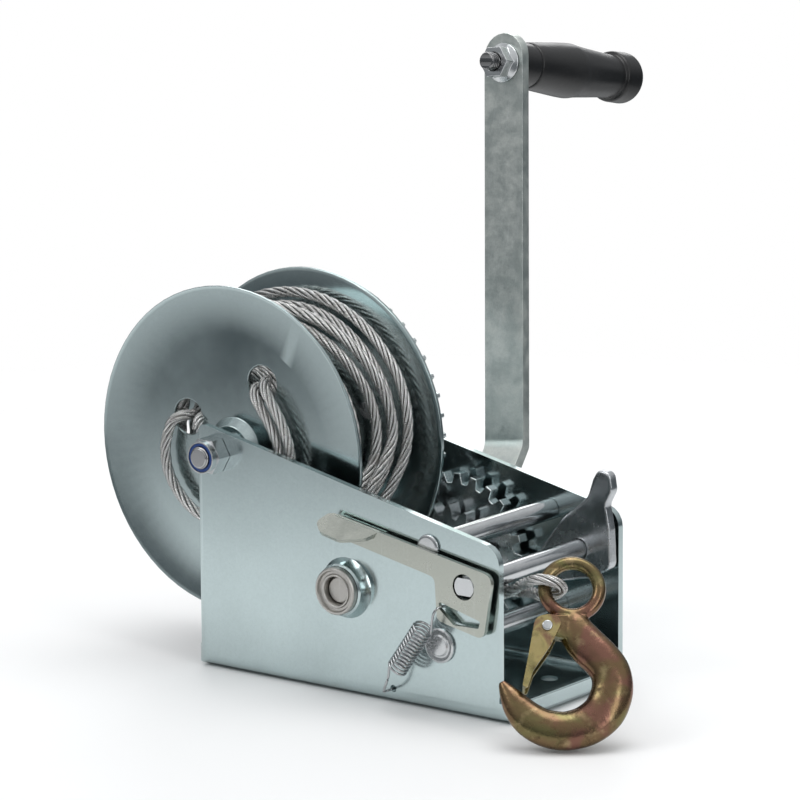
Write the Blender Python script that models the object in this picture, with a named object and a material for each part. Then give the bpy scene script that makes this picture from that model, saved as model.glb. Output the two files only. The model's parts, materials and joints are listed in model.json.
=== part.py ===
"""Boat trailer winch: a bent sheet frame, a geared rope drum, a cranked drive shaft with a ratchet, and a hook.

Metres, +Z up. The origin is the middle of the frame's underside, +X points forwards along the rope to
the hook, and +Y points across to the crank side. Every shaft runs along Y except the grip's bolt,
which leans with the crank arm, and the latch's rivet, which leans with the hook.
"""

import math

import bmesh
import bpy
import numpy as np
from mathutils import Matrix, Vector

MM = 0.001
GAP = 0.3 * MM  # air left between pieces that touch

# Frame: a channel of bent sheet, open at the top, with a shallow lip across each end of its floor
FRAME_LENGTH = 200 * MM
FRAME_WIDTH = 112 * MM
SHEET = 4 * MM
REAR_HEIGHT = 135.2 * MM
FRONT_HEIGHT = 92 * MM
BEND_RADIUS = 8 * MM
LIP_HEIGHT = 11 * MM
REAR_LIP_X = -104.5 * MM
FRONT_LIP_X = 108 * MM
BOLT_HOLE_RADIUS = 5.25 * MM
BOLT_HOLE_X = (-75 * MM, 77 * MM)
BOLT_HOLE_Y = 21 * MM
SPRING_HOLE = (31.4 * MM, 8.2 * MM)

# Gears: involute teeth of one module, so their sum sets the distance between the two main axes
MODULE = 3.4 * MM
DRUM_TEETH = 48
PINION_TEETH = 15
PRESSURE_ANGLE = math.radians(25)
BACKLASH = 0.5 * MM
GEAR_START_Y = 30.4 * MM
GEAR_WIDTH = 7 * MM
PINION_WIDTH = 8.4 * MM

# Axes, as (x, z)
DRIVE_AXIS = (1 * MM, 58.2 * MM)
DRUM_AXIS_X = -87.2 * MM
CENTRES = MODULE * (DRUM_TEETH + PINION_TEETH) / 2
DRUM_AXIS = (DRUM_AXIS_X, DRIVE_AXIS[1] + math.sqrt(CENTRES**2 - (DRIVE_AXIS[0] - DRUM_AXIS_X) ** 2))
UPPER_ROD_AXIS = (55.4 * MM, 87.8 * MM)
PAWL_AXIS = (81 * MM, 71 * MM)
LOWER_ROD_AXIS = (62.4 * MM, 36.4 * MM)

# Drum
FLANGE_RADIUS = 89 * MM
FLANGE_SHEET = 2 * MM
NEAR_RIM_Y = -43.2 * MM
FAR_RIM_Y = 28.5 * MM
DISH_DEPTH = 5 * MM
DISH_RADIUS = 62 * MM
HUB_RADIUS = 9 * MM
DRUM_TUBE_RADIUS = 30 * MM
WINDING_INNER = 42.6 * MM  # two layers of neat turns
SLACK_INNER = 66 * MM
SLACK_OUTER = 79 * MM
ROPE_HOLE_RADIUS = 10 * MM
ROPE_HOLES = ((-32.3 * MM, 13.5 * MM), (19.3 * MM, 37.7 * MM))  # from the drum's axis

# Shafts and bolts
DRUM_BOLT_RADIUS = 6 * MM
DRIVE_RADIUS = 7.2 * MM
ROD_RADIUS = 6 * MM
ROD_END_RADIUS = 5 * MM
PAWL_SHAFT_RADIUS = 5.5 * MM
BUSH_RADIUS = 10.4 * MM
COLLAR_HEIGHT = 7 * MM

# Ratchet and pawl
RATCHET_TEETH = 25
RATCHET_RADIUS = 44 * MM
RATCHET_ROOT = 38.5 * MM
RATCHET_START_Y = 41 * MM
RATCHET_WIDTH = 7 * MM
PAWL_REACH = 41.5 * MM
PAWL_REST_DEG = 22  # the nose below the line to the drive axis, just clear of the teeth
GAP_CENTRE_DEG = 13.4  # the tooth gap that the nose swings into, seen from the drive axis
PAWL_START_Y = 41.6 * MM
PAWL_WIDTH = 6.4 * MM

# Control lever
LEVER_SHEET = 2.5 * MM
LEVER_INNER_Y = -58.6 * MM
TAB_SLOPE = math.radians(10.4)
TAB_FALL = math.radians(38)
SPRING_TOP = (67.2 * MM, 58.7 * MM)
SPRING_Y = -66.4 * MM
SPRING_RADIUS = 5.8 * MM
SPRING_WIRE = 0.65 * MM

# Crank, described with the arm upright and turned back about the drive axis afterwards
CRANK_BACK = math.radians(7.6)
CRANK_LENGTH = 256.5 * MM
ARM_WIDTH = 26 * MM
ARM_THICKNESS = 6 * MM
ARM_FOOT_Y = 67 * MM
ARM_BEND = (97.1 * MM, 48.3 * MM)  # y, and height over the drive axis, where the arm turns upright
ARM_LEAN = math.radians(10.4)
GRIP_LENGTH = 95 * MM
FERRULE_LENGTH = 14.5 * MM

# Rope and hook
ROPE_RADIUS = 3 * MM
HOOK_EYE = (134.25 * MM, -40.14 * MM, 73.54 * MM)
HOOK_DOWN = (23, -39, -71)
HOOK_ACROSS = (0.794, 0.607, 0)
EYE_RING_RADIUS = 13.9 * MM
EYE_WIRE_RADIUS = 3.5 * MM
LATCH_PIVOT = (-11.7 * MM, -22.1 * MM)  # across and up from the eye's centre

ROUND = 40
SMALL_ROUND = 20


# ---------------------------------------------------------------- helpers


def clear_scene():
    for obj in list(bpy.data.objects):
        bpy.data.objects.remove(obj, do_unlink=True)


def material(name, colour, metallic, roughness):
    made = bpy.data.materials.new(name)
    made.use_nodes = True
    shader = made.node_tree.nodes["Principled BSDF"]
    shader.inputs["Base Color"].default_value = (*colour, 1)
    shader.inputs["Metallic"].default_value = metallic
    shader.inputs["Roughness"].default_value = roughness
    return made


def empty(name, location, rotation=None):
    made = bpy.data.objects.new(name, None)
    made.location = location
    if rotation is not None:
        made.rotation_euler = rotation.to_euler()
    bpy.context.collection.objects.link(made)
    return made


def add(name, points, faces, finish=None, parent=None):
    """A mesh object whose points are measured from its parent."""
    mesh = bpy.data.meshes.new(name)
    mesh.from_pydata([tuple(map(float, p)) for p in points], [], faces)
    shape = bmesh.new()
    shape.from_mesh(mesh)
    bmesh.ops.recalc_face_normals(shape, faces=shape.faces)
    shape.to_mesh(mesh)
    shape.free()
    mesh.shade_smooth()
    mesh.set_sharp_from_angle(angle=math.radians(35))
    if finish:
        mesh.materials.append(finish)
    obj = bpy.data.objects.new(name, mesh)
    obj.parent = parent
    bpy.context.collection.objects.link(obj)
    return obj


def rounded(corners, steps=4):
    """An outline from corners (x, z, fillet radius): a point where the radius is 0, an arc elsewhere."""
    outline = []
    count = len(corners)
    for i, (x, z, radius) in enumerate(corners):
        here = Vector((x, z))
        if radius == 0:
            outline.append(here)
            continue
        to_last = (Vector(corners[i - 1][:2]) - here).normalized()
        to_next = (Vector(corners[(i + 1) % count][:2]) - here).normalized()
        half = to_last.angle(to_next) / 2
        centre = here + (to_last + to_next).normalized() * radius / math.sin(half)
        start = here + to_last * radius / math.tan(half) - centre
        end = here + to_next * radius / math.tan(half) - centre
        turn = start.angle_signed(end)
        for k in range(steps + 1):
            angle = -turn * k / steps
            cos, sin = math.cos(angle), math.sin(angle)
            outline.append(centre + Vector((start.x * cos - start.y * sin, start.x * sin + start.y * cos)))
    return [(p.x, p.y) for p in outline]


def prism(name, outline, low, high, finish=None, parent=None, along="Y"):
    """An outline pushed along an axis. It lies in XZ for Y, in YZ for X and in XY for Z."""
    place = {
        "X": lambda p, w: (w, p[0], p[1]),
        "Y": lambda p, w: (p[0], w, p[1]),
        "Z": lambda p, w: (p[0], p[1], w),
    }[along]
    count = len(outline)
    points = [place(p, w) for w in (low, high) for p in outline]
    sides = [(i, (i + 1) % count, count + (i + 1) % count, count + i) for i in range(count)]
    return add(name, points, [tuple(range(count)), tuple(range(count, 2 * count)), *sides], finish, parent)


def turned(name, profile, axis=(0, 0), finish=None, parent=None, steps=ROUND, start=0.0):
    """A closed profile of (radius, y) turned about the line along Y through axis, as (x, z)."""
    points, rings = [], []
    for radius, y in profile:
        if radius == 0:
            rings.append([len(points)] * steps)
            points.append((axis[0], y, axis[1]))
            continue
        rings.append(list(range(len(points), len(points) + steps)))
        for k in range(steps):
            angle = start + 2 * math.pi * k / steps
            points.append((axis[0] + radius * math.cos(angle), y, axis[1] + radius * math.sin(angle)))
    faces = []
    for a, b in zip(rings, rings[1:] + rings[:1]):
        for k in range(steps):
            corners = [a[k], a[(k + 1) % steps], b[(k + 1) % steps], b[k]]
            corners = list(dict.fromkeys(corners))
            if len(corners) > 2:
                faces.append(tuple(corners))
    return add(name, points, faces, finish, parent)


def rod(name, stations, axis=(0, 0), finish=None, parent=None, steps=SMALL_ROUND):
    """A solid of revolution from (y, radius) stations in order along Y."""
    profile = [(0, stations[0][0])] + [(r, y) for y, r in stations] + [(0, stations[-1][0])]
    return turned(name, profile, axis, finish, parent, steps)


def ring(name, inner, outer, low, high, axis=(0, 0), finish=None, parent=None, steps=SMALL_ROUND):
    profile = [(inner, low), (outer, low), (outer, high), (inner, high)]
    return turned(name, profile, axis, finish, parent, steps)


def hexagon(across_flats):
    corner = across_flats / math.sqrt(3)
    return [(corner * math.cos(k * math.pi / 3), corner * math.sin(k * math.pi / 3)) for k in range(6)]


def moved(outline, axis):
    return [(x + axis[0], z + axis[1]) for x, z in outline]


def combine(target, others, operation):
    """Applies a Boolean with each helper in turn, and hides the helpers."""
    for other in others:
        modifier = target.modifiers.new(operation.title() + " " + other.name, "BOOLEAN")
        modifier.operation = operation
        modifier.object = other
        other.hide_render = True
        other.display_type = "WIRE"
    return target


def bevel(obj, width, segments=1):
    modifier = obj.modifiers.new("Bevel", "BEVEL")
    modifier.width = width
    modifier.segments = segments
    modifier.limit_method = "ANGLE"
    modifier.angle_limit = math.radians(40)


def smooth_route(points, spacing):
    """Points a fixed distance apart along the Catmull-Rom curve through the given ones."""
    knots = np.array([2 * np.array(points[0]) - points[1], *points, 2 * np.array(points[-1]) - points[-2]])
    t = np.linspace(0, 1, 24, endpoint=False)[:, None]
    runs = []
    for p0, p1, p2, p3 in zip(knots, knots[1:], knots[2:], knots[3:]):
        bend = 2 * p0 - 5 * p1 + 4 * p2 - p3
        twist = 3 * p1 - p0 - 3 * p2 + p3
        runs.append(0.5 * (2 * p1 + (p2 - p0) * t + bend * t**2 + twist * t**3))
    fine = np.concatenate([*runs, knots[-2:-1]])
    along = np.concatenate([[0], np.cumsum(np.linalg.norm(np.diff(fine, axis=0), axis=1))])
    at = np.linspace(0, along[-1], max(2, round(along[-1] / spacing) + 1))
    return np.stack([np.interp(at, along, fine[:, k]) for k in range(3)], axis=1)


def tube(name, line, radius, finish, parent=None, resolution=2):
    """A round bar along a line of points, as a poly curve with filled caps."""
    curve = bpy.data.curves.new(name, "CURVE")
    curve.dimensions = "3D"
    curve.bevel_depth = radius
    curve.bevel_resolution = resolution
    curve.use_fill_caps = True
    spline = curve.splines.new("POLY")
    spline.points.add(len(line) - 1)
    for point, place in zip(spline.points, line):
        point.co = (*place, 1)
    curve.materials.append(finish)
    obj = bpy.data.objects.new(name, curve)
    obj.parent = parent
    bpy.context.collection.objects.link(obj)
    return obj


def involute_gear(teeth, tip, root, phase):
    """Outline of a gear about the origin, with a tooth centred on the angle phase."""
    pitch = MODULE * teeth / 2
    base = pitch * math.cos(PRESSURE_ANGLE)
    half_at_pitch = math.pi / (2 * teeth) - BACKLASH / (4 * pitch)
    inv_pitch = math.tan(PRESSURE_ANGLE) - PRESSURE_ANGLE
    flank_start = max(base, root)
    flank = []
    for k in range(4):
        radius = flank_start + (tip - flank_start) * k / 3
        at = math.acos(min(1, base / radius))
        flank.append((radius, half_at_pitch + inv_pitch - (math.tan(at) - at)))
    if root < flank_start:
        flank.insert(0, (root, flank[0][1]))
    outline = []
    for tooth in range(teeth):
        centre = phase + 2 * math.pi * tooth / teeth
        outline += [(r * math.cos(centre - a), r * math.sin(centre - a)) for r, a in flank]
        outline += [(r * math.cos(centre + a), r * math.sin(centre + a)) for r, a in reversed(flank)]
    return outline


# ---------------------------------------------------------------- frame


def side_profile():
    """The frame from the side: the plates' falling top, and the floor's lips standing out at both ends."""
    half = FRAME_LENGTH / 2
    return rounded(
        [
            (REAR_LIP_X, 0, 6 * MM),
            (FRONT_LIP_X, 0, 6 * MM),
            (FRONT_LIP_X, LIP_HEIGHT, MM),
            (half, LIP_HEIGHT, 0),
            (half, FRONT_HEIGHT, 11 * MM),
            (-half, REAR_HEIGHT, 5 * MM),
            (-half, LIP_HEIGHT, 0),
            (REAR_LIP_X, LIP_HEIGHT, MM),
        ]
    )


def build_frame(zinc):
    """The channel's outside as one solid, trimmed from the side and from above, then hollowed."""
    side = FRAME_WIDTH / 2
    tall = REAR_HEIGHT + 10 * MM
    outer = [(-side, tall, 0), (-side, 0, BEND_RADIUS), (side, 0, BEND_RADIUS), (side, tall, 0)]
    frame = prism("frame", rounded(outer), -120 * MM, 120 * MM, zinc, along="X")
    profile = prism("cut_profile", side_profile(), -side - 5 * MM, side + 5 * MM)
    wide = side + 0.4 * MM
    plan = [(REAR_LIP_X - MM, -wide), (FRONT_LIP_X + MM, -wide), (FRONT_LIP_X + MM, wide), (REAR_LIP_X - MM, wide)]
    plan = rounded([(x, y, 12 * MM) for x, y in plan], 6)
    combine(frame, [profile, prism("cut_plan", plan, -10 * MM, tall + 5 * MM, along="Z")], "INTERSECT")
    inner_side = side - SHEET
    fold = BEND_RADIUS - SHEET
    inner = [(-inner_side, tall + 5 * MM, 0), (-inner_side, SHEET, fold)]
    inner += [(inner_side, SHEET, fold), (inner_side, tall + 5 * MM, 0)]
    inside = prism("cut_inside", rounded(inner), REAR_LIP_X + SHEET, FRONT_LIP_X - SHEET, along="X")
    combine(frame, [build_collar(sign) for sign in (-1, 1)], "UNION")
    combine(frame, [inside, *frame_holes()], "DIFFERENCE")
    return frame


def build_collar(sign):
    """The drawn collar round the drive shaft's bush, standing out of one plate."""
    face = FRAME_WIDTH / 2
    profile = [(0, face - 2 * MM), (16.8 * MM, face - 2 * MM), (16.4 * MM, face), (14.8 * MM, face + 2.5 * MM)]
    profile += [(14 * MM, face + COLLAR_HEIGHT - MM), (13 * MM, face + COLLAR_HEIGHT), (0, face + COLLAR_HEIGHT)]
    profile = [(radius, sign * y) for radius, y in profile]
    return turned(f"cut_collar_{'near' if sign < 0 else 'far'}", profile, DRIVE_AXIS, steps=32)


def frame_holes():
    """Cutters: the shaft holes through both plates, the spring's hole and the mounting holes."""
    out = FRAME_WIDTH / 2 + 20 * MM
    holes = [
        ("drum", DRUM_BOLT_RADIUS + GAP, DRUM_AXIS),
        ("drive", BUSH_RADIUS + GAP, DRIVE_AXIS),
        ("upper", ROD_END_RADIUS + GAP, UPPER_ROD_AXIS),
        ("lower", ROD_END_RADIUS + GAP, LOWER_ROD_AXIS),
        ("pawl", PAWL_SHAFT_RADIUS + GAP, PAWL_AXIS),
    ]
    cutters = [rod(f"cut_{name}", [(-out, r), (out, r)], axis) for name, r, axis in holes]
    cutters.append(rod("cut_spring", [(-out, 2 * MM), (-out / 2, 2 * MM)], SPRING_HOLE, steps=12))
    for x in BOLT_HOLE_X:
        for y in (-BOLT_HOLE_Y, BOLT_HOLE_Y):
            circle = [
                (x + BOLT_HOLE_RADIUS * math.cos(a), y + BOLT_HOLE_RADIUS * math.sin(a))
                for a in np.linspace(0, 2 * math.pi, SMALL_ROUND, endpoint=False)
            ]
            cutters.append(prism(f"cut_bolt_{len(cutters)}", circle, -MM, 10 * MM, along="Z"))
    return cutters


def build_rods(steel):
    """The two plain rods between the plates, riveted over outside them."""
    inside = FRAME_WIDTH / 2 - SHEET - GAP
    face = FRAME_WIDTH / 2 + GAP
    upper = [(inside, ROD_RADIUS), (inside, ROD_END_RADIUS), (face, ROD_END_RADIUS), (face, 6.8 * MM)]
    upper += [(face + 1.2 * MM, 6.6 * MM), (face + 1.9 * MM, 5 * MM)]
    lower = [(inside, 5.5 * MM), (inside, ROD_END_RADIUS), (face, ROD_END_RADIUS), (face, 9.4 * MM)]
    lower += [(face + 1.1 * MM, 9.3 * MM), (face + 1.6 * MM, 8.3 * MM), (face + 0.9 * MM, 6.4 * MM)]
    lower += [(face + 0.9 * MM, 5.8 * MM), (face + 1.9 * MM, 5 * MM)]
    for name, half, axis in (("upper_tie_rod", upper, UPPER_ROD_AXIS), ("lower_tie_rod", lower, LOWER_ROD_AXIS)):
        mirrored = [(-y, r) for y, r in reversed(half)]
        rod(name, mirrored + half, axis, steel, steps=24)


def build_drum_bolt(steel, insert):
    """The bolt that the drum turns on, with its self-locking nut on the near plate and its two spacers."""
    face = FRAME_WIDTH / 2 + GAP
    head = 7.5 * MM
    bolt = prism("drum_bolt", moved(hexagon(18 * MM), DRUM_AXIS), face, face + head, steel)
    shank = rod("cut_shank", [(-face - 14.2 * MM, 5 * MM), (-face - 13.2 * MM, DRUM_BOLT_RADIUS),
                              (face + MM, DRUM_BOLT_RADIUS)], DRUM_AXIS, steps=24)
    combine(bolt, [shank], "UNION")
    bore = DRUM_BOLT_RADIUS + GAP
    nut = prism("drum_nut", moved(hexagon(18 * MM), DRUM_AXIS), -face - 8.6 * MM, -face, steel)
    rim = [(bore, -face - 8 * MM), (bore, -face - 9.4 * MM), (8.0 * MM, -face - 9.4 * MM)]
    rim += [(8.0 * MM, -face - 12.4 * MM), (8.8 * MM, -face - 12.4 * MM), (8.9 * MM, -face - 8 * MM)]
    combine(nut, [turned("cut_nut_rim", rim, DRUM_AXIS, steps=24)], "UNION")
    combine(nut, [rod("cut_nut_bore", [(-face - 20 * MM, bore), (0, bore)], DRUM_AXIS, steps=24)], "DIFFERENCE")
    ring("nut_insert_ring", bore, 7.7 * MM, -face - 12.2 * MM, -face - 9.7 * MM, DRUM_AXIS, insert, steps=24)
    inside = FRAME_WIDTH / 2 - SHEET - GAP
    ring("drum_spacer_near", bore, HUB_RADIUS, -inside, -47.5 * MM, DRUM_AXIS, steel)
    ring("drum_spacer_far", bore, HUB_RADIUS, 39.5 * MM, inside, DRUM_AXIS, steel)


# ---------------------------------------------------------------- drum


def flange_profile(rim_y, inward):
    """A dished flange in (radius, y): a flat middle pushed inwards, then a cone out to a turned rim."""
    middle = rim_y + inward * DISH_DEPTH
    half = FLANGE_SHEET / 2
    bore = HUB_RADIUS + GAP
    line = [(bore, middle - inward * 5 * MM), (13 * MM, middle - inward * 5 * MM), (17 * MM, middle)]
    line += [(DISH_RADIUS, middle), (FLANGE_RADIUS - 2 * MM, rim_y + inward * MM), (FLANGE_RADIUS, rim_y)]
    return [(r, y - half) for r, y in line] + [(r, y + half) for r, y in reversed(line)]


def build_drum(parent, zinc, steel, rope):
    axis = (0, 0)
    near = turned("near_flange", flange_profile(NEAR_RIM_Y, 1), axis, zinc, parent, steps=72)
    holes = [
        rod(f"cut_rope_{i}", [(-60 * MM, ROPE_HOLE_RADIUS), (-20 * MM, ROPE_HOLE_RADIUS)], hole, parent=parent)
        for i, hole in enumerate(ROPE_HOLES)
    ]
    combine(near, holes, "DIFFERENCE")
    turned("far_flange", flange_profile(FAR_RIM_Y, -1), axis, zinc, parent, steps=72)
    inner_near = NEAR_RIM_Y + DISH_DEPTH + FLANGE_SHEET / 2 + GAP
    inner_far = FAR_RIM_Y - DISH_DEPTH - FLANGE_SHEET / 2 - GAP
    ring("drum_tube", DRUM_TUBE_RADIUS - 2.5 * MM, DRUM_TUBE_RADIUS, inner_near, inner_far, axis, zinc, parent, 32)
    bore = DRUM_BOLT_RADIUS + GAP
    ring("drum_hub", bore, HUB_RADIUS, -47.2 * MM, 39.2 * MM, axis, steel, parent, 24)
    to_drive = math.atan2(DRIVE_AXIS[1] - DRUM_AXIS[1], DRIVE_AXIS[0] - DRUM_AXIS[0])
    pitch = MODULE * DRUM_TEETH / 2
    outline = involute_gear(DRUM_TEETH, pitch + 0.9 * MODULE, pitch - 1.2 * MODULE, to_drive)
    gear = prism("drum_gear", outline, GEAR_START_Y, GEAR_START_Y + GEAR_WIDTH, zinc, parent)
    bore = rod("cut_gear_bore", [(0, HUB_RADIUS + GAP), (60 * MM, HUB_RADIUS + GAP)], parent=parent, steps=24)
    combine(gear, [bore, *rivet_cutters("gear", parent)], "DIFFERENCE")
    combine(bpy.data.objects["far_flange"], rivet_cutters("flange", parent), "DIFFERENCE")
    for i, (x, z) in enumerate(rivet_places()):
        low = FAR_RIM_Y - DISH_DEPTH - FLANGE_SHEET / 2 - GAP
        high = GEAR_START_Y + GEAR_WIDTH + GAP
        stations = [(low - 1.8 * MM, 3.6 * MM), (low - 1.2 * MM, 5 * MM), (low, 5.4 * MM), (low, 4 * MM)]
        stations += [(high, 4 * MM), (high, 5.4 * MM), (high + 1.2 * MM, 5 * MM), (high + 1.8 * MM, 3.6 * MM)]
        rod(f"gear_rivet_{i + 1}", stations, (x, z), steel, parent, steps=16)
    # The rope: neat turns on the tube, and a slack band of loose turns standing clear of them
    ring("rope_inner", DRUM_TUBE_RADIUS + GAP, WINDING_INNER, -33 * MM, inner_far - 2 * MM, axis, rope, parent, 32)
    band = [(SLACK_INNER, -36 * MM), (74 * MM, -36 * MM), (SLACK_OUTER, -29 * MM)]
    band += [(SLACK_OUTER, 17 * MM), (76 * MM, 21 * MM), (SLACK_INNER, 21 * MM)]
    turned("rope_winding", band, axis, rope, parent, steps=48)
    tube("rope_anchor", smooth_route(ANCHOR_ROUTE, 5 * MM), ROPE_RADIUS, rope, parent)


def rivet_places():
    angles = [math.radians(90 * k + 20) for k in range(4)]
    return [(46 * MM * math.cos(a), 46 * MM * math.sin(a)) for a in angles]


def rivet_cutters(name, parent):
    reach = [(10 * MM, 4 * MM + GAP), (60 * MM, 4 * MM + GAP)]
    return [rod(f"cut_{name}_{i}", reach, place, parent=parent, steps=16) for i, place in enumerate(rivet_places())]


# The rope's end, from the drum's axis: out through one hole, round under the hub, and back into the other
ANCHOR_ROUTE = [
    tuple(v * MM for v in p)
    for p in (
(-31.6, -34.4, 14.2), (-32, -39, 14.5), (-34.6, -43.6, 14.2), (-38.5, -45.8, 11), (-42, -45.8, 3),
        (-43.5, -45.8, -7), (-40.5, -45.8, -19), (-31, -45.8, -31), (-17, -45.8, -39), (0, -45.8, -42),
        (17, -45.8, -39), (33, -45.8, -28), (42, -45.8, -12), (43, -45.8, 4), (38, -45.8, 18),
        (30.5, -45.6, 29.5), (24.6, -43.4, 35.6), (20.8, -39, 38.4), (19.6, -34.4, 39.2),
    )
]


# ---------------------------------------------------------------- drive shaft and crank


def build_drive(parent, crank, zinc, steel):
    """The drive shaft, centred on its axis, with its pinion, its ratchet wheel and its retaining collars."""
    collar_end = FRAME_WIDTH / 2 + COLLAR_HEIGHT
    flats = 6 * MM
    square = [(flats, flats), (-flats, flats), (-flats, -flats), (flats, -flats)]
    stations = [(-collar_end + 0.4 * MM, 6.4 * MM), (-collar_end + 1.2 * MM, DRIVE_RADIUS)]
    stations += [(collar_end - 0.6 * MM, DRIVE_RADIUS)]
    shaft = rod("drive_shaft", stations, (0, 0), steel, parent, steps=24)
    end = prism("cut_square", square, collar_end - 2 * MM, ARM_FOOT_Y + ARM_THICKNESS / 2 - 0.4 * MM, parent=crank)
    thread = rod("cut_thread", [(ARM_FOOT_Y, 5 * MM), (ARM_FOOT_Y + 15 * MM, 5 * MM)], parent=parent)
    combine(shaft, [end, thread], "UNION")
    bore = DRIVE_RADIUS + GAP
    to_drum = math.atan2(DRUM_AXIS[1] - DRIVE_AXIS[1], DRUM_AXIS[0] - DRIVE_AXIS[0])
    pitch = MODULE * PINION_TEETH / 2
    outline = involute_gear(PINION_TEETH, pitch + MODULE, pitch - MODULE, to_drum + math.pi / PINION_TEETH)
    pinion = prism("drive_pinion", outline, GEAR_START_Y, GEAR_START_Y + PINION_WIDTH, steel, parent)
    combine(pinion, [rod("cut_pinion", [(0, bore), (60 * MM, bore)], parent=parent, steps=24)], "DIFFERENCE")
    wheel = prism("ratchet_wheel", ratchet_outline(), RATCHET_START_Y, RATCHET_START_Y + RATCHET_WIDTH, zinc, parent)
    combine(wheel, [rod("cut_wheel", [(0, bore), (60 * MM, bore)], parent=parent, steps=24)], "DIFFERENCE")
    ring("shaft_collar_near", bore, 11.5 * MM, -51.5 * MM, -46 * MM, (0, 0), steel, parent, 24)
    ring("shaft_collar_far", bore, 11.5 * MM, 48.4 * MM, 51.6 * MM, (0, 0), steel, parent, 24)


def ratchet_outline():
    """Square-cut teeth, placed so that the pawl's nose swings into a gap."""
    gap = math.atan2(PAWL_AXIS[1] - DRIVE_AXIS[1], PAWL_AXIS[0] - DRIVE_AXIS[0]) - math.radians(GAP_CENTRE_DEG)
    step = 2 * math.pi / RATCHET_TEETH
    tip_half, root_half = 2 * MM / RATCHET_RADIUS, 3.2 * MM / RATCHET_ROOT
    outline = []
    for tooth in range(RATCHET_TEETH):
        centre = gap + step * (tooth + 0.5)
        for radius, angle in (
            (RATCHET_ROOT, -root_half),
            (RATCHET_RADIUS, -tip_half),
            (RATCHET_RADIUS, tip_half),
            (RATCHET_ROOT, root_half),
        ):
            outline.append((radius * math.cos(centre + angle), radius * math.sin(centre + angle)))
    return outline


def build_bushes(bronze):
    face = FRAME_WIDTH / 2
    for name, sign in (("bush_near", -1), ("bush_far", 1)):
        bore, end = DRIVE_RADIUS + GAP, face + COLLAR_HEIGHT
        profile = [(bore, face - SHEET), (BUSH_RADIUS, face - SHEET)]
        if sign < 0:
            # A grooved flange stands out beyond the collar, with the shaft's end set back inside it
            steps = ((0, 0.3), (2.5, 0.3), (2.5, 3), (1.8, 4), (0.9, 4), (0.3, 2.2), (-1.1, 2.2), (-1.5, 3.2), (-2.3, 3.2))
            profile += [(BUSH_RADIUS + out * MM, end + along * MM) for out, along in steps] + [(bore, end + 2.4 * MM)]
        else:
            profile += [(BUSH_RADIUS, end - 2 * MM), (bore, end - 2 * MM)]
        turned(name, [(radius, sign * y) for radius, y in profile], DRIVE_AXIS, bronze, steps=28)


def arm_ribbon():
    """The crank arm edge on, as an outline in (y, z): upright foot, slanting offset, leaning upper arm."""
    top_z = CRANK_LENGTH + 25 * MM
    bend_y, bend_z = ARM_BEND
    top_y = bend_y + (top_z - bend_z) * math.tan(ARM_LEAN)
    centre = [(ARM_FOOT_Y, -25 * MM), (ARM_FOOT_Y, 17 * MM), (bend_y, bend_z), (top_y, top_z)]
    half = ARM_THICKNESS / 2
    sides = []
    for sign in (-1, 1):
        side = []
        for i, point in enumerate(centre):
            before = Vector(centre[max(i - 1, 0)])
            after = Vector(centre[min(i + 1, len(centre) - 1)])
            here = Vector(point)
            normals = [Vector((d.y, -d.x)).normalized() for d in (here - before, after - here) if d.length]
            normal = sum(normals, Vector((0, 0))).normalized()
            offset = sign * half / normal.dot(normals[0])
            inner_bend = 8 * MM if 0 < i < len(centre) - 1 else 0
            inner_bend += half * (1 if (sign > 0) == (i == 1) else -1) if inner_bend else 0
            side.append((here.x + normal.x * offset, here.y + normal.y * offset, inner_bend))
        sides.append(side)
    return rounded(sides[0] + sides[1][::-1])


def grip_frame():
    """The empty on the grip's axis: Y runs along the bolt, out of the arm's far face."""
    y = ARM_BEND[0] + (CRANK_LENGTH - ARM_BEND[1]) * math.tan(ARM_LEAN)
    return (0, y, CRANK_LENGTH), Matrix.Rotation(-ARM_LEAN, 3, "X")


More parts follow.
